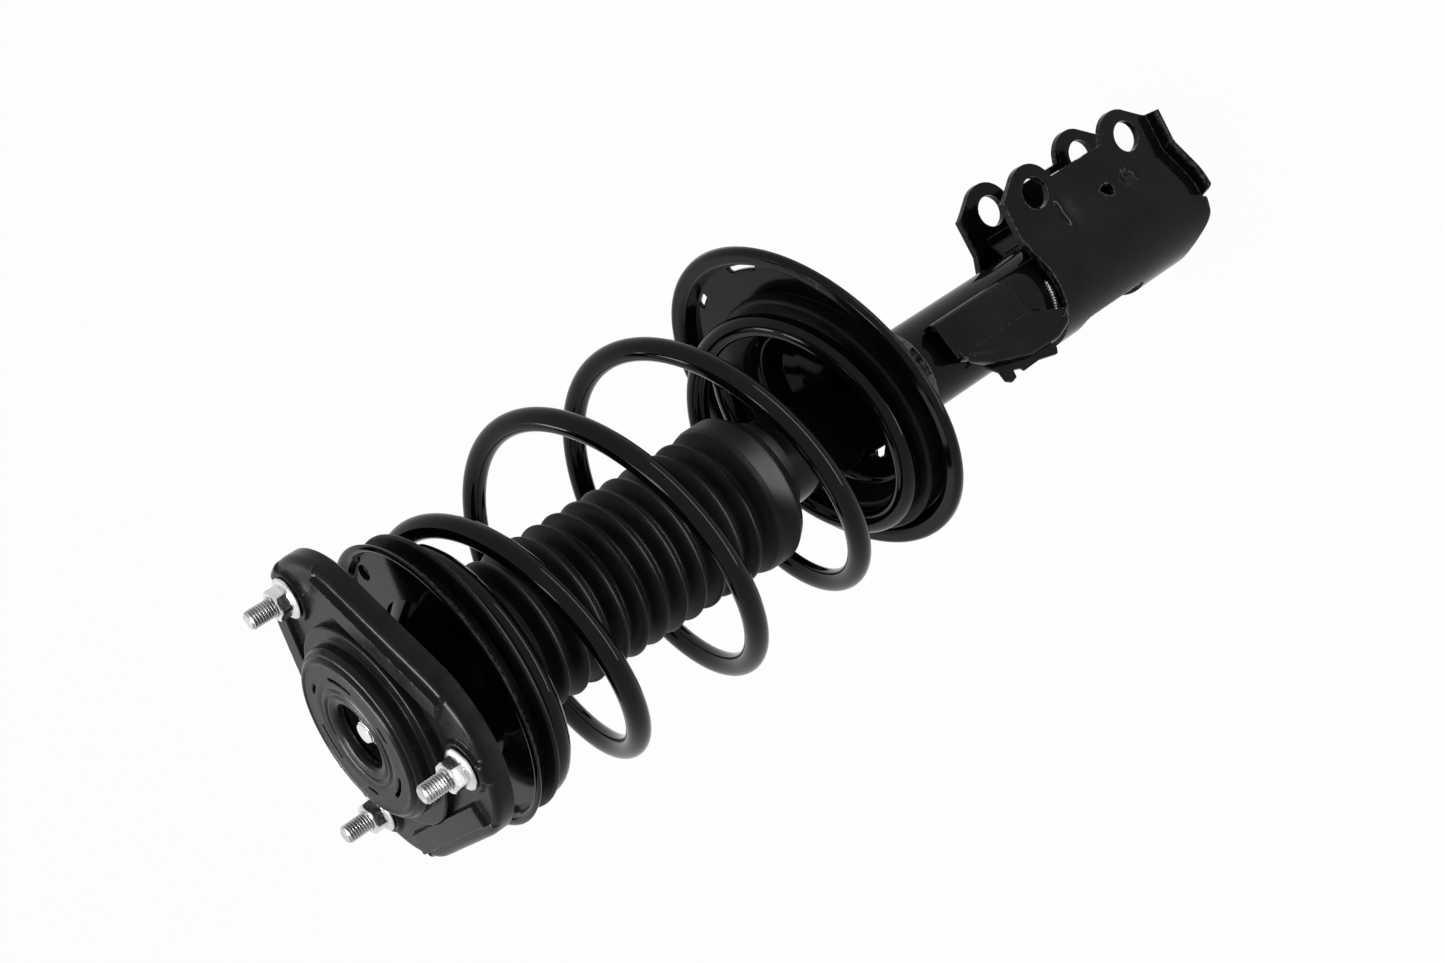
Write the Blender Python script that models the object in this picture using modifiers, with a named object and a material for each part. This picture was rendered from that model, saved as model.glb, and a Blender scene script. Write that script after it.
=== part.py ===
# Front suspension strut assembly: upper mount with three studs, coil spring on a
# gas damper, dust boot, offset lower spring seat, knuckle clevis and hose bracket.
# Metres, +Z up along the strut's axis, +X towards the knuckle bolts.
# The origin lies on the axis, in the plane where the upper mount meets the body.

import math

import bmesh
import bpy
from mathutils import Matrix, Vector

# ---- clearances -------------------------------------------------------------
seat_gap = 0.0003          # between two pieces that rest on each other
run_gap = 0.0004           # between two pieces that slide or turn on each other

# ---- upper mount ------------------------------------------------------------
stud_circle_radius = 0.073
stud_angles = (14, 129.5, 249.5)
stud_radius = 0.0049
stud_tip_height = 0.0218
stud_head_radius = 0.0088
stud_head_thickness = 0.003
nut_across_flats = 0.015
nut_flange_radius = 0.0108
nut_flange_thickness = 0.0022
nut_top = 0.0084
stud_pad_radius = 0.0128
stud_pad_height = -0.0010
plate_corner_radius = 0.0895
plate_side_radius = 0.071
plate_lobe_angles = (10, 130, 250)
plate_bottom = -0.0138
plate_top = -0.003
plate_skin = 0.0032
plate_rim_width = 0.0065
plate_rim_rounding = 0.004
land_inner_side = 0.0530   # of each raised land from the axis, at right angles to the plate's side
land_outer_side = 0.0645
land_half_length = 0.0458
hub_top = 0.0103
hub_step_radius = 0.054
hub_step_height = 0.0015
hub_radius = 0.0462
disc_radius = 0.0418
disc_thickness = 0.003
disc_mouth_radius = 0.0195
disc_lip_radius = 0.0255
disc_slot_radius = 0.0325
disc_slot_width = 0.0026
cup_radius = 0.0405
cup_bottom = -0.026
bushing_radius = 0.0375
bearing_outer_radius = 0.021
bearing_top = -0.0088
bearing_height = 0.0165
ball_radius = 0.0034
ball_circle_radius = 0.0135
ball_count = 8

# ---- damper rod -------------------------------------------------------------
rod_radius = 0.010
rod_neck_radius = 0.006
rod_tip_height = 0.0071
rod_nut_across_flats = 0.019
rod_nut_height = 0.011
rod_end_length = 0.009     # of the rod's threaded end below the piston

# ---- upper spring seat, insulator, bump stop --------------------------------
upper_seat_radius = 0.0765
upper_seat_rim_height = -0.0355
upper_seat_floor = -0.0425
upper_seat_sheet = 0.0025
seat_hole_radius = 0.0043
seat_hole_rim_distance = 0.0117  # from the middle of each small hole out to the seat's rim
seat_hole_circle_radius = upper_seat_radius - seat_hole_rim_distance
seat_hole_angle = 17
upper_pad_thickness = 0.0048
upper_pad_overhang = 0.0007  # of the rubber beyond the seat's rim
upper_pad_spigot_depth = 0.0165
upper_pad_spigot_wall = 0.0035
pad_side_gap = 0.0018      # between a coil's bore and the rubber inside it
bump_stop_radius = 0.0235
bump_stop_length = 0.050

# ---- dust boot --------------------------------------------------------------
boot_fold_radius = 0.0412
boot_valley_radius = 0.0342
boot_wall = 0.0016
boot_fold_pitch = 0.0126
boot_folds = 13
boot_collar_radius = 0.0425
boot_collar_height = 0.026
boot_lip_width = 0.0034
boot_sag = 0.0035          # of the collar below the axis as the strut lies on its back
boot_steps = 16

# ---- coil spring ------------------------------------------------------------
# Turns are counted downwards; the wire starts and ends inside the nominal count.
wire_radius = 0.0061
coil_turns = 5.175
coil_first_turn = 0.08
coil_last_turn = 4.9
coil_start_angle = 15.3
coil_top_flat = 0.744
coil_bottom_flat = 0.88
coil_radii = (0.0622, 0.0712, 0.0831, 0.0845, 0.0642, 0.0638)
coil_centres = (-0.0027, 0.0078, 0.0061)
coil_bottom_height = -0.2919
coil_bottom_slope = 0.118
coil_slope_pivot = 0.019

# ---- damper tube ------------------------------------------------------------
tube_radius = 0.0255
tube_wall = 0.0022
tube_top = -0.236
tube_bottom = -0.589
cylinder_radius = 0.0175
cylinder_wall = 0.0015
valve_foot_height = 0.0136  # of the base valve between the base cap and the cylinder
valve_plug_height = 0.006
guide_height = 0.020
seal_height = 0.006
cap_thickness = 0.0035
piston_height = 0.016
rebound_stop_height = 0.010
rebound_clearance = 0.0005

# ---- lower spring seat ------------------------------------------------------
seat_offset = 0.0168       # of the rim's centre from the strut's axis
seat_height = -0.3003      # of the rim's plane at its centre
seat_slope = 0.172         # rise of the rim's plane towards the knuckle side
seat_rim_radius = 0.0914
seat_lip_radius = 0.0961
seat_sheet = 0.0028
seat_floor_radius = 0.0868
seat_floor_depth = 0.0085
seat_bowl_mouth = 0.0500
seat_bowl_depth = 0.026
seat_collar_wall = 0.003
seat_collar_bottom = -0.358
lower_pad_inner = 0.0545
lower_pad_outer = 0.0745

# ---- knuckle clevis ---------------------------------------------------------
clevis_sheet = 0.004
clevis_gap = 0.029         # between the ears, where the knuckle fits
clevis_near_end = -0.461
clevis_far_end = -0.5935
clevis_bolt_reach = 0.050  # of both bolt holes from the strut's axis
clevis_bolt_heights = (-0.486, -0.568)
clevis_bolt_radius = 0.0093
clevis_ear_radius = 0.0175
clevis_wrap_angle = 65
clevis_flange_width = 0.0115
locating_hole_radius = 0.0038
locating_hole_reach = 0.0288
locating_hole_height = -0.5385
clevis_window_height = 0.057
clevis_window_centre = -0.507
clevis_window_half_width = 0.0165
web_sheet = 0.003
web_near_end = -0.4705
web_far_end = -0.584
web_reach = 0.0375

# ---- hose bracket -----------------------------------------------------------
bracket_direction = -75    # degrees round the axis from +X
bracket_sheet = 0.0022
bracket_stand_off = 0.0323
bracket_near_end = -0.3725
bracket_face_length = 0.054
bracket_half_width = 0.0104
wing_fold = 16             # degrees that the wing turns down from the face
clip_depth = 0.0243        # of the clip's outer face from the strut's axis


def clear_scene():
    for item in list(bpy.data.objects):
        bpy.data.objects.remove(item, do_unlink=True)


def make_collection(name):
    collection = bpy.data.collections.new(name)
    bpy.context.scene.collection.children.link(collection)
    return collection


def make_material(name, color, roughness, metallic):
    material = bpy.data.materials.new(name)
    material.use_nodes = True
    shader = material.node_tree.nodes["Principled BSDF"]
    shader.inputs["Base Color"].default_value = (*color, 1)
    shader.inputs["Roughness"].default_value = roughness
    shader.inputs["Metallic"].default_value = metallic
    return material


clear_scene()
parts = make_collection("strut_assembly")
cutters = make_collection("cutters")

gloss_black = ((0.012, 0.012, 0.013), 0.22, 0.0)
matte_black = ((0.020, 0.019, 0.019), 0.55, 0.0)
black_rubber = ((0.016, 0.016, 0.017), 0.75, 0.0)
zinc_plate = ((0.78, 0.78, 0.75), 0.32, 1.0)
bright_steel = ((0.70, 0.70, 0.70), 0.20, 1.0)
plain_steel = ((0.45, 0.45, 0.46), 0.40, 1.0)
nylon = ((0.55, 0.52, 0.42), 0.45, 0.0)
foam = ((0.50, 0.43, 0.20), 0.80, 0.0)


# ---- modelling helpers ------------------------------------------------------

def add_part(name, mesh, finish):
    piece = bpy.data.objects.new(name, mesh)
    parts.objects.link(piece)
    mesh.materials.append(make_material(name, *finish))
    return piece


def add_cutter(name, mesh):
    tool = bpy.data.objects.new(name, mesh)
    cutters.objects.link(tool)
    tool.hide_render = True
    tool.display_type = "WIRE"
    return tool


def boolean(piece, tool, operation):
    step = piece.modifiers.new(tool.name, "BOOLEAN")
    step.operation = operation
    step.object = tool
    step.solver = "EXACT"
    return step


def profile_mesh(name, outline):
    """A profile in the XZ plane: a ring's is a closed loop, a solid's ends on the axis."""
    mesh = bpy.data.meshes.new(name)
    points = [(radius, 0, height) for radius, height in outline]
    edges = [(i, i + 1) for i in range(len(points) - 1)]
    if outline[0][0] > 0:
        edges.append((len(points) - 1, 0))
    mesh.from_pydata(points, edges, [])
    return mesh


def turn(piece, steps):
    screw = piece.modifiers.new("turn", "SCREW")
    screw.steps = screw.render_steps = steps
    screw.use_merge_vertices = True
    screw.merge_threshold = 0.00001
    return screw


def turned_part(name, outline, finish, steps):
    piece = add_part(name, profile_mesh(name, outline), finish)
    turn(piece, steps)
    return piece


def turned_cutter(name, outline, steps):
    tool = add_cutter(name, profile_mesh(name, outline))
    turn(tool, steps)
    return tool


def arc(centre, radius, first, last, count):
    """Points on an arc from one angle to another, in degrees."""
    angles = [math.radians(first + (last - first) * i / count) for i in range(count + 1)]
    return [(centre[0] + radius * math.cos(a), centre[1] + radius * math.sin(a)) for a in angles]


def filleted(corners, count=3):
    """A closed outline from (x, y, fillet radius) corners, each fillet an arc."""
    outline = []
    for i, (x, y, radius) in enumerate(corners):
        here = Vector((x, y))
        before = Vector(corners[i - 1][:2]) - here
        after = Vector(corners[(i + 1) % len(corners)][:2]) - here
        if radius == 0:
            outline.append((x, y))
            continue
        half = before.angle(after) / 2
        centre = here + (before.normalized() + after.normalized()).normalized() * radius / math.sin(half)
        start = here + before.normalized() * radius / math.tan(half) - centre
        end = here + after.normalized() * radius / math.tan(half) - centre
        sweep = start.angle_signed(end)
        for k in range(count + 1):
            spoke = start.copy()
            spoke.rotate(Matrix.Rotation(-sweep * k / count, 2))
            outline.append(tuple(centre + spoke))
    return outline


def flat_mesh(name, outline, low, high):
    """A flat outline in XY, filled as a 2D curve and extruded from low to high."""
    curve = bpy.data.curves.new(name, "CURVE")
    curve.dimensions = "2D"
    curve.fill_mode = "BOTH"
    curve.extrude = (high - low) / 2
    spline = curve.splines.new("POLY")
    spline.points.add(len(outline) - 1)
    for point, (x, y) in zip(spline.points, outline):
        point.co = (x, y, 0, 1)
    spline.use_cyclic_u = True
    return mesh_from_curve(name, curve, Matrix.Translation((0, 0, (low + high) / 2)))


def mesh_from_curve(name, curve, placing):
    holder = bpy.data.objects.new(name, curve)
    cutters.objects.link(holder)
    mesh = bpy.data.meshes.new_from_object(holder.evaluated_get(bpy.context.evaluated_depsgraph_get()))
    bpy.data.objects.remove(holder, do_unlink=True)
    form = bmesh.new()
    form.from_mesh(mesh)
    bmesh.ops.remove_doubles(form, verts=form.verts, dist=0.000001)
    bmesh.ops.dissolve_limit(form, angle_limit=math.radians(1), verts=form.verts, edges=form.edges)
    bmesh.ops.recalc_face_normals(form, faces=form.faces)
    form.transform(placing)
    form.to_mesh(mesh)
    form.free()
    mesh.name = name
    return mesh


def lofted_mesh(name, rings):
    """A closed skin through rings of equal point count, the last joined to the first."""
    form = bmesh.new()
    skin = [[form.verts.new(point) for point in ring] for ring in rings]
    for first, second in zip(skin, skin[1:] + skin[:1]):
        for i in range(len(first)):
            form.faces.new((first[i - 1], first[i], second[i], second[i - 1]))
    bmesh.ops.recalc_face_normals(form, faces=form.faces)
    mesh = bpy.data.meshes.new(name)
    form.to_mesh(mesh)
    form.free()
    return mesh


def cylinder_mesh(name, radius, low, high, steps=24):
    mesh = bpy.data.meshes.new(name)
    form = bmesh.new()
    bmesh.ops.create_cone(form, cap_ends=True, segments=steps, radius1=radius, radius2=radius,
                          depth=high - low, matrix=Matrix.Translation((0, 0, (low + high) / 2)))
    form.to_mesh(mesh)
    form.free()
    return mesh


def polar(radius, degrees, height=0.0):
    angle = math.radians(degrees)
    return Vector((radius * math.cos(angle), radius * math.sin(angle), height))


def hexagon(across_flats):
    return arc((0, 0), across_flats / math.sqrt(3), 0, 300, 5)


# ---- upper mount ------------------------------------------------------------

def plate_outline(inset=0.0):
    """Rounded triangle: the hull of three equal circles, one near each stud."""
    lobe_reach = 2 * (plate_corner_radius - plate_side_radius)
    lobe_radius = plate_corner_radius - lobe_reach - inset
    outline = []
    for lobe_angle in plate_lobe_angles:
        centre = polar(lobe_reach, lobe_angle)
        outline += arc(centre, lobe_radius, lobe_angle - 60, lobe_angle + 60, 8)
    return outline


def make_mount_plate():
    """Pressed pan with a rounded rim, raised lands and stud pads, and the bearing cup."""
    piece = add_part("mount_plate", flat_mesh("mount_plate", plate_outline(), plate_bottom, plate_top),
                     matte_black)
    rounding = piece.modifiers.new("rim_rounding", "BEVEL")
    rounding.width = plate_rim_rounding
    rounding.segments = 2
    rounding.limit_method = "ANGLE"
    rounding.angle_limit = math.radians(60)

    hollow = add_cutter("plate_hollow", flat_mesh("plate_hollow", plate_outline(plate_rim_width),
                                                  plate_bottom - 0.01, plate_top - plate_skin))
    boolean(piece, hollow, "DIFFERENCE")

    pan_floor = plate_top - plate_skin
    hub_wall = turned_cutter("hub_wall", [
        (disc_radius + seat_gap, hub_top - 0.0006),
        (hub_radius - 0.0015, hub_top - 0.0012),
        (hub_radius, hub_top - 0.0035),
        (hub_radius, hub_step_height + 0.0008),
        (hub_radius + 0.0008, hub_step_height),
        (hub_step_radius - 0.001, hub_step_height),
        (hub_step_radius, hub_step_height - 0.001),
        (hub_step_radius + 0.0004, plate_top - 0.001),
        (hub_step_radius, pan_floor - 0.0005),
        (cup_radius, pan_floor - 0.004),
        (cup_radius, cup_bottom + 0.003),
        (cup_radius - 0.003, cup_bottom),
        (bearing_outer_radius + 0.004, cup_bottom),
        (bearing_outer_radius + 0.004, cup_bottom + 0.0025),
        (bushing_radius + seat_gap, cup_bottom + 0.0025),
        (bushing_radius + seat_gap, hub_top - disc_thickness - seat_gap),
        (disc_radius + seat_gap, hub_top - disc_thickness - seat_gap),
    ], 36)
    core = turned_cutter("hub_core", [
        (0, hub_top + 0.01),
        (hub_radius, hub_top + 0.01),
        (hub_radius, cup_bottom - 0.01),
        (0, cup_bottom - 0.01),
    ], 36)
    boolean(piece, core, "DIFFERENCE")
    boolean(piece, hub_wall, "UNION")

    for i, angle in enumerate(stud_angles):
        pad = add_cutter(f"stud_pad_{i + 1}", cylinder_mesh("pad", stud_pad_radius, plate_top - 0.001,
                                                            stud_pad_height, 16))
        pad.location = polar(stud_circle_radius, angle)
        boolean(piece, pad, "UNION")
    strip = [(land_inner_side, -land_half_length), (land_outer_side, -land_half_length),
             (land_outer_side, land_half_length), (land_inner_side, land_half_length)]
    for i, lobe_angle in enumerate(plate_lobe_angles):
        land = add_cutter(f"land_{i + 1}", flat_mesh("land", strip, plate_top - 0.001, 0))
        land.rotation_euler.z = math.radians(lobe_angle + 60)
        boolean(piece, land, "UNION")
    for i, angle in enumerate(stud_angles):
        hole = add_cutter(f"stud_hole_{i + 1}", cylinder_mesh("hole", stud_radius + seat_gap, -0.02, 0.02, 16))
        hole.location = polar(stud_circle_radius, angle)
        boolean(piece, hole, "DIFFERENCE")
    return piece


def make_hub_disc():
    """Top retainer: a disc with a turned-down mouth, three curved slots and three small ones."""
    top = hub_top
    low = hub_top - disc_thickness
    piece = turned_part("hub_disc", [
        (disc_radius - 0.0012, top),
        (disc_radius, top - 0.001),
        (disc_radius, low),
        (disc_lip_radius, low),
        (disc_lip_radius - 0.002, low - 0.0016),
        (disc_mouth_radius, low - 0.0016),
        (disc_mouth_radius, top - 0.0022),
        (disc_mouth_radius + 0.0015, top - 0.0012),
        (disc_lip_radius - 0.001, top - 0.0012),
        (disc_lip_radius, top),
    ], finish=matte_black, steps=36)
    half = disc_slot_width / 2
    for i in range(3):
        for kind, middle, sweep in (("long", 90 + 120 * i, 30), ("short", 30 + 120 * i, 12)):
            first = middle - sweep / 2
            last = middle + sweep / 2
            sector = (arc((0, 0), disc_slot_radius + half, first, last, 5)
                      + arc((0, 0), disc_slot_radius - half, last, first, 5))
            slot = add_cutter(f"{kind}_slot_{i + 1}", flat_mesh("slot", sector, low - 0.005, top + 0.005))
            boolean(piece, slot, "DIFFERENCE")
    return piece


def make_mount_bushing():
    """Rubber between the cup and the bearing, waisted above and below."""
    top = hub_top - disc_thickness - 2 * seat_gap
    low = cup_bottom + 0.0025 + seat_gap
    inner = bearing_outer_radius + seat_gap
    mouth = disc_mouth_radius + 0.0008
    return turned_part("mount_bushing", [
        (bushing_radius - 0.001, top),
        (bushing_radius, top - 0.001),
        (bushing_radius, low + 0.001),
        (bushing_radius - 0.001, low),
        (0.031, low),
        (0.029, low + 0.006),
        (0.027, low),
        (inner, low),
        (inner, bearing_top + seat_gap),
        (mouth, bearing_top + seat_gap),
        (mouth, top - 0.004),
        (disc_lip_radius + seat_gap, top - 0.002),
        (0.030, top),
    ], black_rubber, 20)


def make_bearing():
    middle = bearing_top - bearing_height / 2
    low = bearing_top - bearing_height
    outer_groove = arc((ball_circle_radius, middle), ball_radius + run_gap, -48, 48, 4)
    turned_part("bearing_outer_race", [
        (bearing_outer_radius - 0.0006, bearing_top),
        (bearing_outer_radius, bearing_top - 0.0006),
        (bearing_outer_radius, low + 0.0006),
        (bearing_outer_radius - 0.0006, low),
        (outer_groove[0][0], low),
        *outer_groove,
        (outer_groove[-1][0], bearing_top),
    ], bright_steel, 20)
    inner_groove = arc((ball_circle_radius, middle), ball_radius + run_gap, 132, 228, 4)
    turned_part("bearing_inner_race", [
        (inner_groove[0][0], bearing_top + 0.0003),
        *inner_groove,
        (inner_groove[-1][0], low - 0.0012),
        (rod_neck_radius + seat_gap, low - 0.0012),
        (rod_neck_radius + seat_gap, bearing_top + 0.0003),
    ], bright_steel, 20)
    cage = turned_part("bearing_cage", [
        (ball_circle_radius + 0.0009, middle + 0.0032),
        (ball_circle_radius + 0.0009, middle - 0.0032),
        (ball_circle_radius - 0.0009, middle - 0.0032),
        (ball_circle_radius - 0.0009, middle + 0.0032),
    ], nylon, 20)
    for i in range(ball_count):
        ball_mesh = bpy.data.meshes.new("ball")
        form = bmesh.new()
        bmesh.ops.create_icosphere(form, subdivisions=1, radius=ball_radius)
        form.to_mesh(ball_mesh)
        form.free()
        ball = add_cutter(f"ball_{i + 1}", ball_mesh)
        ball.location = polar(ball_circle_radius, 360 * i / ball_count, middle)
        boolean(cage, ball, "UNION")


def make_studs_and_nuts():
    skin_low = plate_top - plate_skin
    base = stud_pad_height + seat_gap
    flange_top = base + nut_flange_thickness
    for i, angle in enumerate(stud_angles):
        place = polar(stud_circle_radius, angle)
        stud = turned_part(f"stud_{i + 1}", [
            (0, stud_tip_height),
            (stud_radius - 0.0012, stud_tip_height),
            (stud_radius, stud_tip_height - 0.0015),
            (stud_radius, skin_low - seat_gap),
            (stud_head_radius, skin_low - seat_gap),
            (stud_head_radius, skin_low - seat_gap - stud_head_thickness),
            (0, skin_low - seat_gap - stud_head_thickness),
        ], zinc_plate, 16)
        stud.location = place
        nut = add_part(f"flange_nut_{i + 1}", flat_mesh("hex", hexagon(nut_across_flats),
                                                        base + 0.0005, nut_top), zinc_plate)
        flange = turned_cutter(f"nut_flange_{i + 1}", [
            (0, flange_top + 0.0010),
            (nut_across_flats / 2, flange_top + 0.0010),
            (nut_flange_radius, flange_top - 0.0010),
            (nut_flange_radius, base),
            (0, base),
        ], 20)
        flange.location = place
        thread = add_cutter(f"nut_bore_{i + 1}", cylinder_mesh("bore", stud_radius + seat_gap, -0.01, 0.03, 16))
        thread.location = place
        nut.location = place
        nut.rotation_euler.z = math.radians(angle + 12)
        boolean(nut, flange, "UNION")
        boolean(nut, thread, "DIFFERENCE")


# ---- rod group --------------------------------------------------------------

def make_piston_rod():
    """Rod with a threaded neck; its shoulder clamps the upper seat under the bearing."""
    shoulder = rod_shoulder_height()
    end = piston_top() + seat_gap
    turned_part("piston_rod", [
        (0, rod_tip_height),
        (rod_neck_radius - 0.0012, rod_tip_height),
        (rod_neck_radius, rod_tip_height - 0.0012),
        (rod_neck_radius, shoulder),
        (rod_radius - 0.0006, shoulder),
        (rod_radius, shoulder - 0.0006),
        (rod_radius, end + 0.0006),
        (rod_radius - 0.0006, end),
        (rod_neck_radius, end),
        (rod_neck_radius, piston_bottom() - rod_end_length),
        (0, piston_bottom() - rod_end_length),
    ], bright_steel, 24)


def rod_shoulder_height():
    return seat_plate_top() - upper_seat_sheet - seat_gap


def seat_plate_top():
    return bearing_top - bearing_height - 0.0012 - seat_gap


def piston_top():
    """At full extension the rebound stop rests against the rod guide."""
    return guide_bottom() - rebound_clearance - rebound_stop_height - seat_gap


def piston_bottom():
    return piston_top() - piston_height


def make_rod_nut():
    low = bearing_top + 0.0003 + seat_gap
    nut = add_part("rod_nut", flat_mesh("rod_nut", hexagon(rod_nut_across_flats), low, low + rod_nut_height),
                   zinc_plate)
    bore = add_cutter("rod_nut_bore", cylinder_mesh("bore", rod_neck_radius + seat_gap, -0.03, 0.03, 24))
    boolean(nut, bore, "DIFFERENCE")


def make_upper_seat():
    """Dish: a flat centre under the bearing, a cone, a flat ring and a rolled rim."""
    top = seat_plate_top()
    sheet = upper_seat_sheet
    floor = upper_seat_floor
    rim = upper_seat_rim_height
    radius = upper_seat_radius
    piece = turned_part("upper_spring_seat", [
        (rod_neck_radius + seat_gap, top),
        (0.0235, top),
        (0.0265, top - 0.0015),
        (0.0425, floor + 0.002),
        (0.0450, floor),
        (radius - 0.0065, floor),
        (radius - 0.0045, floor + 0.0012),
        (radius - 0.0022, rim - 0.0004),
        (radius - 0.0008, rim),
        (radius, rim - 0.0010),
        (radius + 0.0002, rim - 0.0026),
        (radius - 0.0030, floor - 0.0002),
        (radius - 0.0070, floor - sheet),
        (0.0438, floor - sheet),
        (0.0260, top - 0.0015 - sheet),
        (0.0225, top - sheet),
        (rod_neck_radius + seat_gap, top - sheet),
    ], gloss_black, 36)
    for i in range(3):
        hole = add_cutter(f"seat_hole_{i + 1}",
                          cylinder_mesh("hole", seat_hole_radius, floor - 0.01, floor + 0.01, 12))
        hole.location = polar(seat_hole_circle_radius, seat_hole_angle + 120 * i)
        boolean(piece, hole, "DIFFERENCE")


def upper_pad_top():
    return upper_seat_floor - upper_seat_sheet - seat_gap


def coil_top_height():
    return upper_pad_top() - upper_pad_thickness - seat_gap - wire_radius


def make_upper_insulator():
    """Rubber ring under the seat, with a spigot inside the first coil."""
    top = upper_pad_top()
    low = top - upper_pad_thickness
    edge = upper_seat_radius + upper_pad_overhang
    spigot = coil_radii[0] + coil_centres[0] - wire_radius - pad_side_gap
    turned_part("upper_insulator", [
        (edge - 0.010, top),
        (edge - 0.003, top - 0.0004),
        (edge, top - 0.0024),
        (edge - 0.0012, low - 0.0004),
        (edge - 0.004, low),
        (spigot + 0.001, low),
        (spigot, low - 0.001),
        (spigot - 0.0012, top - upper_pad_spigot_depth),
        (spigot - upper_pad_spigot_wall, top - upper_pad_spigot_depth),
        (spigot - upper_pad_spigot_wall, top),
    ], black_rubber, 32)


def make_bump_stop():
    """Foam stop round the rod, with three rounded rings and a tapered nose."""
    top = rod_shoulder_height() - 0.012
    rings = 3
    pitch = (bump_stop_length - 0.012) / rings
    outer = [(bump_stop_radius - 0.002, top)]
    for i in range(rings):
        height = top - 0.003 - i * pitch
        size = bump_stop_radius - 0.0015 * i
        outer += [(size, height), (size, height - pitch * 0.55), (size - 0.0045, height - pitch * 0.8)]
    low = top - bump_stop_length
    outer += [(0.0150, low + 0.001), (0.0140, low)]
    inner = rod_radius + run_gap
    turned_part("bump_stop", outer + [(inner, low), (inner, top)], foam, 20)


def boot_top():
    return upper_seat_floor - upper_seat_sheet - seat_gap


def boot_bottom():
    return boot_top() - 0.008 - boot_folds * boot_fold_pitch - boot_collar_height - 0.010


def make_dust_boot():
    """Bellows from the upper seat to a cup that closes on the tube."""
    top = boot_top()
    wall = boot_wall
    peak = boot_fold_radius
    valley = boot_valley_radius
    start = top - 0.008
    lip = coil_radii[0] + coil_centres[0] - wire_radius - pad_side_gap - upper_pad_spigot_wall - seat_gap
    outer = [(lip, top), (lip, top - wall)]
    for i in range(boot_folds):
        height = start - i * boot_fold_pitch
        outer += [(peak, height - boot_fold_pitch * 0.30), (valley, height - boot_fold_pitch * 0.85)]
    collar_top = start - boot_folds * boot_fold_pitch
    collar_low = collar_top - boot_collar_height
    collar = boot_collar_radius
    neck = (tube_radius + seat_gap) / math.cos(math.pi / boot_steps)
    outer += [(collar, collar_top - 0.004), (collar, collar_low), (collar - 0.004, collar_low - 0.004),
              (neck + 0.003, collar_low - 0.008), (neck + 0.002, boot_bottom()), (neck, boot_bottom())]
    inner = [(neck, collar_low - 0.006), (collar - 0.005, collar_low - 0.004 + wall),
             (collar - wall, collar_low + wall), (collar - wall, collar_top - 0.004 - wall)]
    for i in reversed(range(boot_folds)):
        height = start - i * boot_fold_pitch
        inner += [(valley - wall, height - boot_fold_pitch * 0.85), (peak - wall - 0.001, height - boot_fold_pitch * 0.30)]
    inner += [(lip - boot_lip_width, top - wall), (lip - boot_lip_width, top)]
    add_part("dust_boot", lofted_mesh("dust_boot", [boot_ring(*point) for point in outer + inner]), black_rubber)


def boot_ring(radius, height):
    """Ring of the boot: its centre moves off the axis towards the collar and back at the neck."""
    neck_height = 0.005
    fall = smooth((boot_top() - height) / (boot_top() - boot_bottom() - 0.010))
    shift = boot_sag * fall * smooth((height - boot_bottom() - neck_height) / neck_height)
    return [polar(radius, 360 * i / boot_steps, height) - Vector((shift, 0, 0)) for i in range(boot_steps)]


def smooth(value):
    value = min(max(value, 0), 1)
    return value * value * (3 - 2 * value)


def eased(value, ease=0.1):
    """Runs from 0 to 1 with a short parabola at each end and a straight between."""
    value = min(max(value, 0), 1)
    if value < ease:
        return value * value / (2 * ease) / (1 - ease)
    if value > 1 - ease:
        return (1 - ease - (1 - value) ** 2 / (2 * ease)) / (1 - ease)
    return (value - ease / 2) / (1 - ease)


def coil_radius(turn_count):
    """Radii at equal steps of the nominal turns, joined by monotone cubics."""
    last = len(coil_radii) - 1
    place = min(max(turn_count / coil_turns, 0), 1) * last
    i = min(int(place), last - 1)
    t = place - i
    steps = [b - a for a, b in zip(coil_radii, coil_radii[1:])]

    def slope(k):
        if k == 0 or k == last:
            return steps[min(k, last - 1)]
        before = steps[k - 1]
        after = steps[k]
        return 0 if before * after <= 0 else 2 * before * after / (before + after)

    rise = t * t * (3 - 2 * t)
    return (coil_radii[i] + (coil_radii[i + 1] - coil_radii[i]) * rise
            + slope(i) * t * (1 - t) ** 2 - slope(i + 1) * t * t * (1 - t))


def coil_centre(drop):
    """The coils' centre moves off the axis in the upper half and back a little in the lower."""
    top, middle, bottom = coil_centres
    return top + (middle - top) * smooth(drop / 0.5) + (bottom - middle) * smooth((drop - 0.5) / 0.5)


def coil_point(turn_count):
    """Centre of the wire after so many turns down from the top end."""
    drop = eased((turn_count - coil_top_flat) / (coil_turns - coil_bottom_flat - coil_top_flat))
    arm = polar(coil_radius(turn_count), coil_start_angle - 360 * turn_count)
    x = coil_centre(drop) + arm.x
    height = coil_top_height() + (coil_bottom_height - coil_top_height()) * drop
    return (x, arm.y, height + coil_bottom_slope * drop * (x - coil_slope_pivot))


def make_coil_spring():
    curve = bpy.data.curves.new("coil_spring", "CURVE")
    curve.dimensions = "3D"
    curve.bevel_depth = wire_radius
    curve.bevel_resolution = 2
    curve.use_fill_caps = True
    count = round((coil_last_turn - coil_first_turn) * 18)
    spline = curve.splines.new("POLY")
    spline.points.add(count)
    for i, point in enumerate(spline.points):
        turn_count = coil_first_turn + (coil_last_turn - coil_first_turn) * i / count
        point.co = (*coil_point(turn_count), 1)
    mesh = mesh_from_curve("coil_spring", curve, Matrix.Identity(4))
    add_part("coil_spring", mesh, gloss_black)


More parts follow.
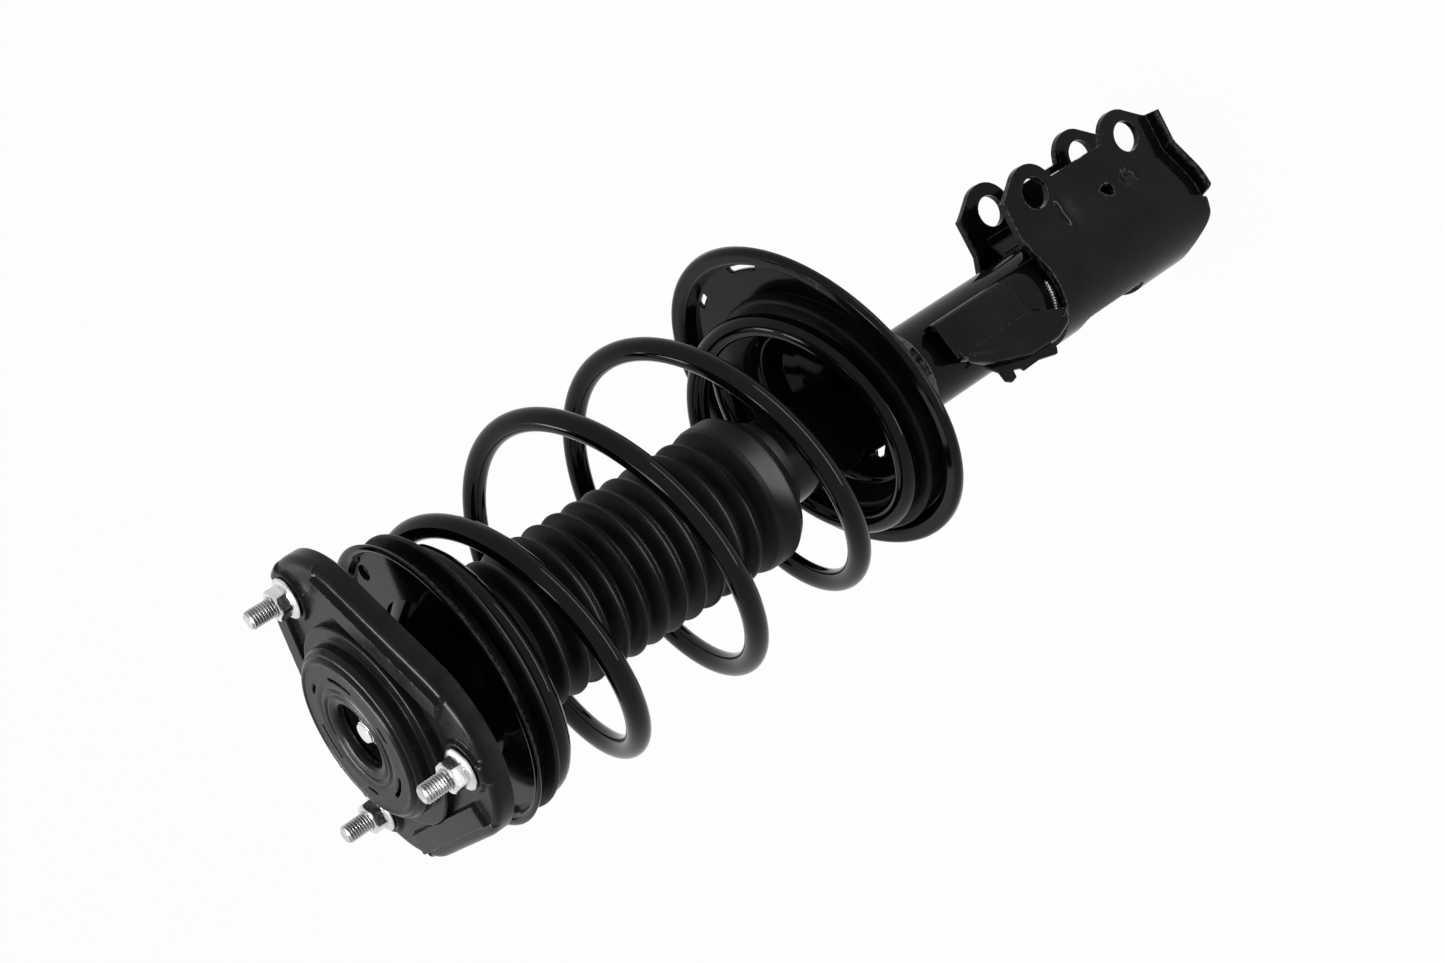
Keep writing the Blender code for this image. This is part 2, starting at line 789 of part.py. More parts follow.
def make_piston_group():
    low = piston_bottom()
    bore = cylinder_radius - run_gap
    turned_part("piston", [
        (bore - 0.0008, piston_top()),
        (bore, piston_top() - 0.0008),
        (bore, low + 0.0008),
        (bore - 0.0008, low),
        (rod_neck_radius + seat_gap, low),
        (rod_neck_radius + seat_gap, piston_top()),
    ], plain_steel, 20)
    stop_low = piston_top() + seat_gap
    stop_top = stop_low + rebound_stop_height
    turned_part("rebound_stop", [
        (cylinder_radius - 0.0025, stop_top),
        (cylinder_radius - 0.0015, stop_top - 0.001),
        (cylinder_radius - 0.0015, stop_low + 0.001),
        (cylinder_radius - 0.0025, stop_low),
        (rod_radius + seat_gap, stop_low),
        (rod_radius + seat_gap, stop_top),
    ], black_rubber, 20)
    nut = add_part("piston_nut", flat_mesh("piston_nut", hexagon(0.017), low - seat_gap - 0.007, low - seat_gap),
                   plain_steel)
    hole = add_cutter("piston_nut_bore", cylinder_mesh("bore", rod_neck_radius + seat_gap, low - 0.02, low + 0.01, 24))
    boolean(nut, hole, "DIFFERENCE")


# ---- damper housing ---------------------------------------------------------

def make_damper_tube():
    """Outer tube, rolled in at its mouth over the cap."""
    inner = tube_radius - tube_wall
    turned_part("damper_tube", [
        (tube_radius - 0.0045, tube_top),
        (tube_radius - 0.0010, tube_top - 0.0010),
        (tube_radius, tube_top - 0.0030),
        (tube_radius, tube_bottom + 0.003),
        (tube_radius - 0.003, tube_bottom),
        (tube_radius - 0.0045, tube_bottom),
        (inner, tube_bottom + 0.0025),
        (inner, tube_top - 0.0022),
        (tube_radius - 0.0045, tube_top - 0.0022),
    ], gloss_black, 32)


def guide_top():
    return tube_top - 0.0022 - seat_gap - cap_thickness - seat_gap - seal_height - seat_gap


def guide_bottom():
    return guide_top() - guide_height


def make_tube_head():
    """Cap, seal and rod guide, stacked under the tube's rolled mouth."""
    inner = tube_radius - tube_wall - seat_gap
    cap_top = tube_top - 0.0022 - seat_gap
    cap_low = cap_top - cap_thickness
    turned_part("tube_cap", [
        (inner, cap_top),
        (inner, cap_low),
        (rod_radius + 0.0012, cap_low),
        (rod_radius + 0.0012, cap_top),
    ], plain_steel, 20)
    seal_top = cap_low - seat_gap
    seal_low = seal_top - seal_height
    turned_part("rod_seal", [
        (inner, seal_top),
        (inner, seal_low),
        (rod_radius + 0.0035, seal_low),
        (rod_radius + run_gap, seal_low + 0.0015),
        (rod_radius + run_gap, seal_top - 0.0015),
        (rod_radius + 0.0020, seal_top),
    ], black_rubber, 20)
    bore = cylinder_radius - run_gap
    turned_part("rod_guide", [
        (inner, guide_top()),
        (inner, guide_bottom() + 0.010),
        (bore, guide_bottom() + 0.010),
        (bore, guide_bottom()),
        (rod_radius + run_gap, guide_bottom()),
        (rod_radius + run_gap, guide_top()),
    ], plain_steel, 20)


def make_inner_cylinder():
    top = guide_bottom() + 0.010 - seat_gap
    low = base_cap_top() + valve_foot_height
    turned_part("inner_cylinder", [
        (cylinder_radius + cylinder_wall, top),
        (cylinder_radius + cylinder_wall, low),
        (cylinder_radius, low),
        (cylinder_radius, top),
    ], plain_steel, 20)
    valve_top = low + valve_plug_height
    turned_part("base_valve", [
        (0, valve_top),
        (cylinder_radius - run_gap, valve_top),
        (cylinder_radius - run_gap, low - seat_gap),
        (cylinder_radius + cylinder_wall, low - seat_gap),
        (cylinder_radius - 0.001, base_cap_top() + seat_gap),
        (0, base_cap_top() + seat_gap),
    ], plain_steel, 20)


def base_cap_top():
    return tube_bottom + 0.0025 + 0.004


def make_base_cap():
    top = base_cap_top()
    turned_part("base_cap", [
        (0, top),
        (tube_radius - tube_wall - seat_gap, top),
        (tube_radius - tube_wall - seat_gap, tube_bottom + 0.0035),
        (tube_radius - 0.0050, tube_bottom + 0.0008),
        (0, tube_bottom + 0.0008),
    ], gloss_black, 32)


# ---- lower spring seat ------------------------------------------------------

def seat_frame():
    tilt = Matrix.Rotation(-math.atan(seat_slope), 4, "Y")
    return Matrix.Translation((seat_offset, 0, seat_height)) @ tilt


def dish_ring(centre, radius, height, steps=36):
    """Ring in the seat's own tilted plane, its centre shifted towards the tube."""
    place = seat_frame()
    return [place @ (polar(radius, 360 * i / steps, height) + Vector((centre, 0, 0))) for i in range(steps)]


def axis_ring(radius, height, steps=36):
    return [polar(radius, 360 * i / steps, height) for i in range(steps)]


def coil_centre_in_seat():
    return coil_centres[2] - seat_offset


def make_lower_seat():
    """Tilted pan, offset to the knuckle side: turned-over rim, flat floor for the
    rubber ring and a bowl whose collar is welded round the tube."""
    sheet = seat_sheet
    rim = seat_rim_radius
    lip = seat_lip_radius
    floor = -seat_floor_depth
    edge = seat_floor_radius
    shift = coil_centre_in_seat()
    mouth = seat_bowl_mouth
    bowl = -seat_bowl_depth
    collar = tube_radius + seat_gap
    rings = [
        axis_ring(collar, seat_collar_bottom + 0.016),
        dish_ring(shift, mouth - 0.010, bowl),
        dish_ring(shift, mouth - 0.005, bowl + 0.004),
        dish_ring(shift, mouth - 0.001, floor - 0.002),
        dish_ring(shift, mouth + 0.001, floor),
        dish_ring(0, edge - 0.0015, floor),
        dish_ring(0, edge + 0.0015, floor + 0.002),
        dish_ring(0, rim - 0.0008, -0.0010),
        dish_ring(0, rim, 0),
        dish_ring(0, lip - 0.0012, 0),
        dish_ring(0, lip, -0.0012),
        dish_ring(0, lip, -0.0040),
        dish_ring(0, lip - 0.0018, -0.0040),
        dish_ring(0, rim + 0.0020, -0.0028),
        dish_ring(0, edge + 0.0038, floor + 0.002 - sheet),
        dish_ring(0, edge - 0.0005, floor - sheet),
        dish_ring(shift, mouth + 0.003, floor - sheet),
        dish_ring(shift, mouth - 0.002, bowl + 0.002),
        dish_ring(shift, mouth - 0.008, bowl - sheet),
        axis_ring(collar + seat_collar_wall, seat_collar_bottom + 0.010),
        axis_ring(collar + seat_collar_wall, seat_collar_bottom),
        axis_ring(collar, seat_collar_bottom),
    ]
    add_part("lower_spring_seat", lofted_mesh("lower_spring_seat", rings), gloss_black)


def make_lower_insulator():
    """Rubber ring whose foot lies on the seat's floor and whose top follows the last coil."""
    steps = 32
    low = -seat_floor_depth + seat_gap
    shift = coil_centre_in_seat()
    wire_low = coil_bottom_height - (wire_radius + seat_gap) * math.sqrt(1 + coil_bottom_slope ** 2)

    def foot(radius):
        return dish_ring(shift, radius, low, steps)

    def crown(radius, drop):
        ring = []
        for i in range(steps):
            point = polar(radius, 360 * i / steps) + Vector((coil_centres[2], 0, 0))
            point.z = wire_low - drop + coil_bottom_slope * (point.x - coil_slope_pivot)
            ring.append(point)
        return ring

    rings = [
        foot(lower_pad_outer),
        crown(lower_pad_outer - 0.0010, 0.0015),
        crown(lower_pad_outer - 0.0025, 0),
        crown(lower_pad_inner + 0.0010, 0),
        crown(lower_pad_inner, 0.0010),
        foot(lower_pad_inner),
    ]
    add_part("lower_insulator", lofted_mesh("lower_insulator", rings), black_rubber)


# ---- knuckle clevis ---------------------------------------------------------

def clevis_outer_radius():
    return tube_radius + seat_gap + clevis_sheet


def clevis_shoulder(radius, ear):
    """Where the sheet's straight cheek, tangent to a wrap of this radius, meets the ear."""
    leave = polar(radius, clevis_wrap_angle)
    slope = math.tan(math.radians(90 - clevis_wrap_angle))
    return (leave.x + (leave.y - ear) / slope, ear)


def clevis_section():
    """Sheet wrapped round the back of the tube, closing in to two parallel ears."""
    inner = tube_radius + seat_gap
    outer = clevis_outer_radius()
    wrap = clevis_wrap_angle
    reach = clevis_bolt_reach + 1.3 * clevis_ear_radius
    ear_in = clevis_gap / 2
    ear_out = ear_in + clevis_sheet
    outside = arc((0, 0), outer, wrap, 360 - wrap, 20)
    inside = arc((0, 0), inner, 360 - wrap, wrap, 20)
    upper_outside = clevis_shoulder(outer, ear_out)
    upper_inside = clevis_shoulder(inner, ear_in)
    return ([(reach, ear_out), upper_outside] + outside
            + [(upper_outside[0], -ear_out), (reach, -ear_out), (reach, -ear_in), (upper_inside[0], -ear_in)]
            + inside + [upper_inside, (reach, ear_in)])


def clevis_side_outline():
    """Side view: straight ends, and an ear round each bolt hole."""
    top, low = clevis_bolt_heights
    ear = clevis_ear_radius
    tip = clevis_bolt_reach + ear
    valley = clevis_bolt_reach + 0.2 * ear
    back = -1.33 * clevis_outer_radius()
    return filleted([
        (back, clevis_near_end, 0),
        (valley, clevis_near_end, 0.2 * ear),
        (tip, top + 0.57 * ear, 0.69 * ear),
        (tip, top - 0.74 * ear, 0.74 * ear),
        (valley, top - 1.37 * ear, 0.57 * ear),
        (valley, low + 1.2 * ear, 0.57 * ear),
        (tip, low + 0.63 * ear, 0.69 * ear),
        (tip, low - 0.8 * ear, 0.74 * ear),
        (valley, clevis_far_end, 0.2 * ear),
        (0.3 * back, clevis_far_end, 0.3 * tube_radius),
        (back, clevis_far_end + 0.75 * abs(back), 0),
    ])


def clevis_flange_outline():
    """Return flange of one ear: its inner edge runs in the middle of the sheet."""
    depth = clevis_sheet / 2
    middle = clevis_outer_radius() - depth
    ear_out = clevis_gap / 2 + clevis_sheet
    width = clevis_flange_width
    bend = clevis_shoulder(middle, ear_out - depth)
    return [
        (clevis_bolt_reach + 0.2 * clevis_ear_radius, ear_out - depth),
        (clevis_bolt_reach, ear_out + width),
        (0.15 * tube_radius, ear_out + 1.43 * width),
        tuple(polar(middle, clevis_wrap_angle + 33).to_2d()),
        tuple(polar(middle, clevis_wrap_angle).to_2d()),
        bend,
    ]


def upright(mesh):
    """Stands a mesh drawn in XY up into XZ, its thickness along Y."""
    mesh.transform(Matrix.Rotation(math.radians(90), 4, "X"))
    return mesh


def make_clevis_bracket():
    piece = add_part("clevis_bracket", flat_mesh("clevis_bracket", clevis_section(), clevis_far_end - 0.005,
                                                 clevis_near_end + 0.005), gloss_black)
    side = add_cutter("clevis_side", upright(flat_mesh("side", clevis_side_outline(), -0.05, 0.05)))
    boolean(piece, side, "INTERSECT")
    for sign in (1, -1):
        flange_outline = [(x, sign * y) for x, y in clevis_flange_outline()]
        flange = add_cutter(f"far_flange_{1 if sign > 0 else 2}",
                            flat_mesh("far_flange", flange_outline, clevis_far_end, clevis_far_end + clevis_sheet))
        boolean(piece, flange, "UNION")
    for i, height in enumerate(clevis_bolt_heights):
        bolt = add_cutter(f"clevis_bolt_hole_{i + 1}", upright(cylinder_mesh("bolt", clevis_bolt_radius, -0.05, 0.05, 24)))
        bolt.location = (clevis_bolt_reach, 0, height)
        boolean(piece, bolt, "DIFFERENCE")
    small = add_cutter("clevis_locating_hole",
                       upright(cylinder_mesh("locating", locating_hole_radius, -0.05, 0.05, 12)))
    small.location = (locating_hole_reach, 0, locating_hole_height)
    boolean(piece, small, "DIFFERENCE")
    half = clevis_window_half_width
    low = clevis_window_centre - clevis_window_height / 2
    high = clevis_window_centre + clevis_window_height / 2
    corner = clevis_window_half_width / 2
    window_outline = filleted([(-half, low, corner), (half, low, corner), (half, high, corner), (-half, high, corner)])
    window = add_cutter("clevis_window", upright(flat_mesh("window", window_outline, tube_radius / 2,
                                                           2 * tube_radius)))
    window.rotation_euler.z = math.radians(-90)
    boolean(piece, window, "DIFFERENCE")


def make_clevis_web():
    """Inner channel between the ears, its web against the tube."""
    ear_in = clevis_gap / 2 - seat_gap
    web_face = tube_radius + seat_gap
    sheet = web_sheet
    section = [
        (web_reach, ear_in),
        (web_face + 0.0065, ear_in),
        (web_face, ear_in - 0.0065),
        (web_face, -ear_in + 0.0065),
        (web_face + 0.0065, -ear_in),
        (web_reach, -ear_in),
        (web_reach, -ear_in + sheet),
        (web_face + 0.0075, -ear_in + sheet),
        (web_face + sheet, -ear_in + 0.0080),
        (web_face + sheet, ear_in - 0.0080),
        (web_face + 0.0075, ear_in - sheet),
        (web_reach, ear_in - sheet),
    ]
    add_part("clevis_web", flat_mesh("clevis_web", section, web_far_end, web_near_end), gloss_black)


# ---- hose bracket -----------------------------------------------------------

def bracket_frame():
    """Axes of the hose bracket: X across its face, Y along the strut, Z outwards."""
    outwards = polar(1, bracket_direction)
    along = Vector((0, 0, 1))
    across = along.cross(outwards)
    return Matrix((across, along, outwards)).transposed().to_4x4()


def make_hose_bracket():
    """Open channel on the tube: a side wall, a flat face and a wing folded down."""
    sheet = bracket_sheet
    near = bracket_near_end
    far = near - bracket_face_length
    half = bracket_half_width
    outer = bracket_stand_off
    foot = math.sqrt((tube_radius + seat_gap) ** 2 - (half - sheet) ** 2) + 0.0002
    face = flat_mesh("hose_bracket", filleted([
        (half, near, 0.002),
        (-half - 0.001, near, 0.002),
        (-half - 0.001, far - 0.004, 0.002),
        (half - 0.004, far - 0.004, 0.004),
        (half, far + 0.004, 0.003),
    ], 2), outer - sheet, outer)
    piece = add_part("hose_bracket", face, gloss_black)
    place = bracket_frame()
    piece.matrix_world = place
    wall_outline = [(half, near - 0.0012), (half - sheet, near - 0.0012), (half - sheet, far + 0.006), (half, far + 0.006)]
    wall = add_cutter("bracket_wall", flat_mesh("wall", wall_outline, foot, outer - 0.0005))
    wall.matrix_world = place
    boolean(piece, wall, "UNION")
    unit = bracket_face_length
    wing_outline = filleted([
        (0.02 * unit, -0.06 * unit, 0),
        (-0.21 * unit, -0.44 * unit, 0.22 * unit),
        (-0.35 * unit, -0.89 * unit, 0.26 * unit),
        (-0.36 * unit, -1.41 * unit, 0.13 * unit),
        (-0.19 * unit, -1.52 * unit, 0.11 * unit),
        (0.02 * unit, -1.04 * unit, 0),
    ])
    wing = add_cutter("bracket_wing", flat_mesh("wing", wing_outline, -sheet, 0))
    fold = Matrix.Rotation(-math.radians(wing_fold), 4, "Y")
    wing.matrix_world = place @ Matrix.Translation((-half, near, outer - 0.0001)) @ fold
    boolean(piece, wing, "UNION")


def make_hose_clip():
    """Plate behind the wing, its edge cut into a hook and a fork for the hose's clip."""
    unit = bracket_face_length
    shares = [
        (-0.41, -0.33), (-0.55, -0.46), (-0.66, -0.46), (-0.70, -0.53), (-0.69, -0.60), (-0.60, -0.62),
        (-0.64, -0.72), (-0.68, -0.74), (-0.67, -0.98), (-0.73, -1.21), (-0.66, -1.26), (-0.60, -1.20),
        (-0.57, -1.44), (-0.44, -1.57), (-0.33, -1.48), (-0.49, -1.04),
    ]
    outline = [(across * unit, bracket_near_end + along * unit) for across, along in shares]
    piece = add_part("hose_clip", flat_mesh("hose_clip", outline, clip_depth - bracket_sheet, clip_depth), gloss_black)
    piece.matrix_world = bracket_frame()


make_mount_plate()
make_hub_disc()
make_mount_bushing()
make_bearing()
make_studs_and_nuts()
make_piston_rod()
make_rod_nut()
make_upper_seat()
make_upper_insulator()
make_bump_stop()
make_dust_boot()
make_coil_spring()
make_piston_group()
make_damper_tube()
make_tube_head()
make_inner_cylinder()
make_base_cap()
make_lower_seat()
make_lower_insulator()
make_clevis_bracket()
make_clevis_web()
make_hose_bracket()
make_hose_clip()
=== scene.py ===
import math

import bmesh
import bpy
import numpy as np
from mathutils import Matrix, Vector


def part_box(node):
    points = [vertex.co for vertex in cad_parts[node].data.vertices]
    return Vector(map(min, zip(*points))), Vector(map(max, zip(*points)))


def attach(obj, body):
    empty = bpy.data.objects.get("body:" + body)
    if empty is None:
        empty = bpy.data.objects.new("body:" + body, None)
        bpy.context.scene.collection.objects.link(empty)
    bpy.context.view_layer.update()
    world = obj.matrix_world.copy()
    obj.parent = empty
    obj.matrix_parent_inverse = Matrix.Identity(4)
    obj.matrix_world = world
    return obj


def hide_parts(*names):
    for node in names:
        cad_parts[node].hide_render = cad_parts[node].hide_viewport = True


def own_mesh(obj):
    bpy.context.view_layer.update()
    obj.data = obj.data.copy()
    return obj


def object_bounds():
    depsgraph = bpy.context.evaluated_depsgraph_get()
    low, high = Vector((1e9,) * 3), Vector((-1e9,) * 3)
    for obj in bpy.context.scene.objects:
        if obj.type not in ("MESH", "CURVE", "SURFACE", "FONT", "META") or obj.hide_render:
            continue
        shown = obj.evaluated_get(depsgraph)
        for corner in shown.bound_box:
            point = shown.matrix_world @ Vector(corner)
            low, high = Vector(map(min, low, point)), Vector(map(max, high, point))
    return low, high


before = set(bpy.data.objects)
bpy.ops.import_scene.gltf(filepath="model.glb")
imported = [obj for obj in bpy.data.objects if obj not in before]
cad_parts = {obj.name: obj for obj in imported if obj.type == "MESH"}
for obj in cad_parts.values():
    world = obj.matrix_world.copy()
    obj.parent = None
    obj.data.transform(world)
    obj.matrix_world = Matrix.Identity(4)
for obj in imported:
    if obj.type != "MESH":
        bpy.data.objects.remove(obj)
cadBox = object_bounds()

print("frame loaded:", len(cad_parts), "nodes")

# Lengths are in metres, angles in degrees. The strut's axis is Z, its mount is at the top,
# and the knuckle bolts lie towards +X.


# ---- shared mesh helpers

def smoothStep(value):
    # 0 below 0, 1 above 1, and the cubic 3t^2 - 2t^3 between them
    t = np.clip(value, 0, 1)
    return t * t * (3 - 2 * t)


def aroundAxis(radius, angle, height):
    # points (radius cos angle, radius sin angle, height), for numbers or arrays that fit one another
    parts = np.broadcast_arrays(radius * np.cos(angle), radius * np.sin(angle), height)
    return np.stack(parts, axis=-1)


def onCircle(radius, degrees, height=0.0):
    # one point of a level circle round the axis
    return aroundAxis(radius, np.radians(degrees), height)


def unit(vectors):
    # each row divided by its own length
    return vectors / np.linalg.norm(vectors, axis=1, keepdims=True)


def sweepArms(line, up, angle, flat=1.0):
    # arms of a circle carried along a line: side times cosine plus lift times sine, where side is square to the
    # line and to the up direction, lift is square to both, and flat lowers the circle to an ellipse
    tangent = unit(np.gradient(line, axis=0))
    side = unit(np.cross(tangent, up))
    lift = np.cross(side, tangent)
    return side[:, None] * np.cos(angle)[:, None] + lift[:, None] * np.sin(angle)[:, None] * flat


def gridFaces(rows, columns, wrapRows=False, wrapColumns=False):
    # quads between neighbouring points of a grid; a wrapped direction joins its last line to its first
    index = np.arange(rows * columns).reshape(rows, columns)
    if wrapRows:
        index = np.vstack((index, index[:1]))
    if wrapColumns:
        index = np.hstack((index, index[:, :1]))
    corners = (index[:-1, :-1], index[1:, :-1], index[1:, 1:], index[:-1, 1:])
    return np.stack(corners, axis=-1).reshape(-1, 4)


def surface(grid, wrapRows=False, wrapColumns=False, capRows=False):
    # the points of a grid and its faces; capRows closes the first and last row by a fan to the row's middle
    rows, columns = grid.shape[:2]
    points = grid.reshape(-1, 3)
    faces = [gridFaces(rows, columns, wrapRows, wrapColumns)]
    if capRows:
        ring = np.arange(columns)
        following = np.roll(ring, -1)
        for row, middle in ((0, len(points)), (rows - 1, len(points) + 1)):
            start = row * columns
            faces.append(np.stack((ring + start, following + start, np.full(columns, middle)), axis=-1))
        points = np.vstack((points, grid[0].mean(0), grid[-1].mean(0)))
    return points, faces


def loopSurface(grid):
    # a grid closed both ways, as a ring's skin is
    return surface(grid, wrapRows=True, wrapColumns=True)


def cappedSurface(grid):
    # a grid closed round its columns, with both ends filled
    return surface(grid, wrapColumns=True, capRows=True)


def filletRows(corners, radii, arcPoints=6):
    # rows of corner points, each inner row turned into arcs tangent to its neighbours, column by column:
    # the arc is the rational quadratic through the two tangent points, weighted by the sine of half the corner
    corners = np.asarray(corners, float)
    radii = np.asarray(radii, float)
    here = corners[1:-1]
    before = corners[:-2] - here
    after = corners[2:] - here
    lengthBefore = np.linalg.norm(before, axis=-1, keepdims=True) + 1e-12
    lengthAfter = np.linalg.norm(after, axis=-1, keepdims=True) + 1e-12
    cosine = (before * after).sum(-1, keepdims=True) / lengthBefore / lengthAfter
    half = np.arccos(np.clip(cosine, -1, 1)) / 2
    shape = (-1,) + (1,) * (corners.ndim - 1)
    reach = radii[1:-1].reshape(shape) / np.tan(np.clip(half, 0.02, None))
    reach = np.minimum(reach, 0.49 * np.minimum(lengthBefore, lengthAfter))
    first = here + before / lengthBefore * reach
    last = here + after / lengthAfter * reach
    weight = np.sin(half)
    arcs = []
    for t in np.linspace(0, 1, arcPoints):
        bottom = (1 - t) ** 2 + 2 * t * (1 - t) * weight + t * t
        arcs.append(((1 - t) ** 2 * first + 2 * t * (1 - t) * weight * here + t * t * last) / bottom)
    early = first + (before / lengthBefore) * 0.25 * np.minimum(reach, lengthBefore - reach)
    late = last + (after / lengthAfter) * 0.25 * np.minimum(reach, lengthAfter - reach)
    inner = np.stack([early] + arcs + [late], axis=1).reshape((-1,) + corners.shape[1:])
    return np.concatenate((corners[:1], inner, corners[-1:]))


def resample(path, count):
    # points at equal steps of the path's own length
    steps = np.linalg.norm(np.diff(path, axis=0), axis=1)
    along = np.concatenate(([0], np.cumsum(steps)))
    places = np.linspace(0, along[-1], count)
    return np.stack([np.interp(places, along, path[:, k]) for k in range(path.shape[1])], axis=-1)


def roundedProfile(corners, arcPoints=6, closed=False):
    # (radius, height, fillet) corners as a path with its fillets; a closed one is started between two corners
    data = np.asarray(corners, float)
    if closed:
        middle = (data[0] + data[-1]) / 2
        middle[2] = 0
        data = np.vstack((middle, data, middle))
    return filletRows(data[:, :2], data[:, 2], arcPoints)


def revolve(profile, steps):
    # each (radius, height) of the profile carried round the axis at equal angles
    angle = np.linspace(0, 2 * np.pi, steps, endpoint=False)[None, :]
    return aroundAxis(profile[:, :1], angle, profile[:, 1:2])


def punch(points, faces, distance, outward):
    # faces whose middle lies inside the cut go; points on its border move out to the cut's own edge
    quads = faces[0]
    inside = distance[quads].mean(1) < 0
    kept = quads[~inside]
    border = np.intersect1d(quads[inside], kept)
    points = points.copy()
    points[border] -= outward[border] * distance[border, None]
    return points, [kept] + list(faces[1:])


def roundHole(points, centre, axis, radius):
    # distance to a straight round hole's edge, below 0 inside, and the direction away from its middle line
    axis = np.asarray(axis, float)
    arm = points - np.asarray(centre)
    arm = arm - (arm @ axis)[:, None] * axis
    length = np.linalg.norm(arm, axis=1)
    return length - radius, arm / (length[:, None] + 1e-12)


def makePiece(name, surfaces, finish, body, nodes, sharp=35, closed=True, thickness=0, bevel=0,
              even=True):
    # joins surfaces into one mesh; a sheet gets its thickness below its face, even where it bends unless told
    # otherwise, and a bevel rounds its edges
    points, faces, start = [], [], 0
    for somePoints, someFaces in surfaces:
        points.append(somePoints)
        for block in someFaces:
            faces += (block + start).tolist()
        start += len(somePoints)
    mesh = bpy.data.meshes.new(name)
    mesh.from_pydata(np.vstack(points).tolist(), [], faces)
    form = bmesh.new()
    form.from_mesh(mesh)
    bmesh.ops.remove_doubles(form, verts=form.verts, dist=0.000001)
    loose = [point for point in form.verts if not point.link_faces]
    bmesh.ops.delete(form, geom=loose, context="VERTS")
    if closed:
        bmesh.ops.recalc_face_normals(form, faces=form.faces)
    form.to_mesh(mesh)
    form.free()
    mesh.validate()
    mesh.shade_smooth()
    mesh.set_sharp_from_angle(angle=math.radians(sharp))
    piece = bpy.data.objects.new(name, mesh)
    bpy.context.scene.collection.objects.link(piece)
    mesh.materials.append(finish)
    if thickness:
        wall = piece.modifiers.new("wall", "SOLIDIFY")
        wall.thickness = thickness
        wall.offset = -1
        wall.use_even_offset = even
    if bevel:
        edge = piece.modifiers.new("edge", "BEVEL")
        edge.width = bevel
        edge.segments = 2
        edge.limit_method = "ANGLE"
        edge.angle_limit = math.radians(50)
        edge.harden_normals = False
    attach(piece, body)
    if nodes:
        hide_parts(*nodes)
    return piece


# ---- finishes

class Finish:
    # a Principled material with a short way to add nodes
    def __init__(self, name):
        self.material = bpy.data.materials.new(name)
        self.material.use_nodes = True
        self.tree = self.material.node_tree
        self.shader = self.tree.nodes["Principled BSDF"]
        self.place = self.node("ShaderNodeTexCoord").outputs["Object"]

    def node(self, kind, **values):
        made = self.tree.nodes.new(kind)
        for key, value in values.items():
            setattr(made, key, value)
        return made

    def link(self, start, end):
        self.tree.links.new(start, end)

    def noise(self, scale, detail=4.0, roughness=0.55, stretch=None):
        place = self.place
        if stretch:
            mapping = self.node("ShaderNodeMapping")
            mapping.inputs["Scale"].default_value = stretch
            self.link(place, mapping.inputs["Vector"])
            place = mapping.outputs["Vector"]
        texture = self.node("ShaderNodeTexNoise")
        texture.inputs["Scale"].default_value = scale
        texture.inputs["Detail"].default_value = detail
        texture.inputs["Roughness"].default_value = roughness
        self.link(place, texture.inputs["Vector"])
        return texture.outputs["Fac"]

    def spread(self, value, low, high, start=0.0, end=1.0):
        ranged = self.node("ShaderNodeMapRange")
        ranged.inputs["From Min"].default_value = start
        ranged.inputs["From Max"].default_value = end
        ranged.inputs["To Min"].default_value = low
        ranged.inputs["To Max"].default_value = high
        self.link(value, ranged.inputs["Value"])
        return ranged.outputs["Result"]

    def blend(self, factor, low, high):
        mixed = self.node("ShaderNodeMix", data_type="RGBA")
        sockets = mixed.inputs
        self.link(factor, sockets["Factor"])
        for socket, value in ((sockets[6], low), (sockets[7], high)):
            if isinstance(value, tuple):
                socket.default_value = (*value, 1)
            else:
                self.link(value, socket)
        return mixed.outputs[2]

    def edges(self, start, end):
        # 0 on flat faces and 1 on outer edges, from how far the surface bulges
        geometry = self.node("ShaderNodeNewGeometry")
        return self.spread(geometry.outputs["Pointiness"], 0, 1, start, end)

    def times(self, first, second):
        product = self.node("ShaderNodeMath", operation="MULTIPLY")
        self.link(first, product.inputs[0])
        self.link(second, product.inputs[1])
        return product.outputs[0]

    def bump(self, height, distance):
        raised = self.node("ShaderNodeBump")
        raised.inputs["Distance"].default_value = distance
        self.link(height, raised.inputs["Height"])
        return raised.outputs["Normal"]

    def feed(self, **sockets):
        names = {"color": "Base Color", "roughness": "Roughness", "normal": "Normal", "metal": "Metallic",
                 "specular": "Specular IOR Level"}
        for key, value in sockets.items():
            socket = self.shader.inputs[names[key]]
            if isinstance(value, (int, float)):
                socket.default_value = value
            elif isinstance(value, tuple):
                socket.default_value = (*value, 1)
            else:
                self.link(value, socket)


# noise scales, in waves to the metre
noiseScale = {"glossClouds": 26, "glossSpecks": 900, "glossPatches": 160, "glossWear": 420, "glossPeel": 520,
              "satinClouds": 34, "satinGrain": 1500, "satinWear": 500, "satinSheen": 120,
              "rubberClouds": 45, "rubberGrain": 1900, "metalClouds": 90, "metalScratches": 1400,
              "metalSheen": 260, "foamCells": 900, "foamTint": 60, "foamSheen": 200}

glossPaint = {"color": (0.0030, 0.0030, 0.0034), "dust": (0.0105, 0.0100, 0.0098), "worn": (0.045, 0.043, 0.041),
              "roughness": (0.06, 0.13), "specular": 0.11, "peel": 0.000006}
wirePaint = {"color": (0.0022, 0.0022, 0.0025), "dust": (0.0050, 0.0048, 0.0047), "worn": (0.020, 0.019, 0.018),
             "roughness": (0.05, 0.09), "specular": 0.13, "peel": 0.000004}


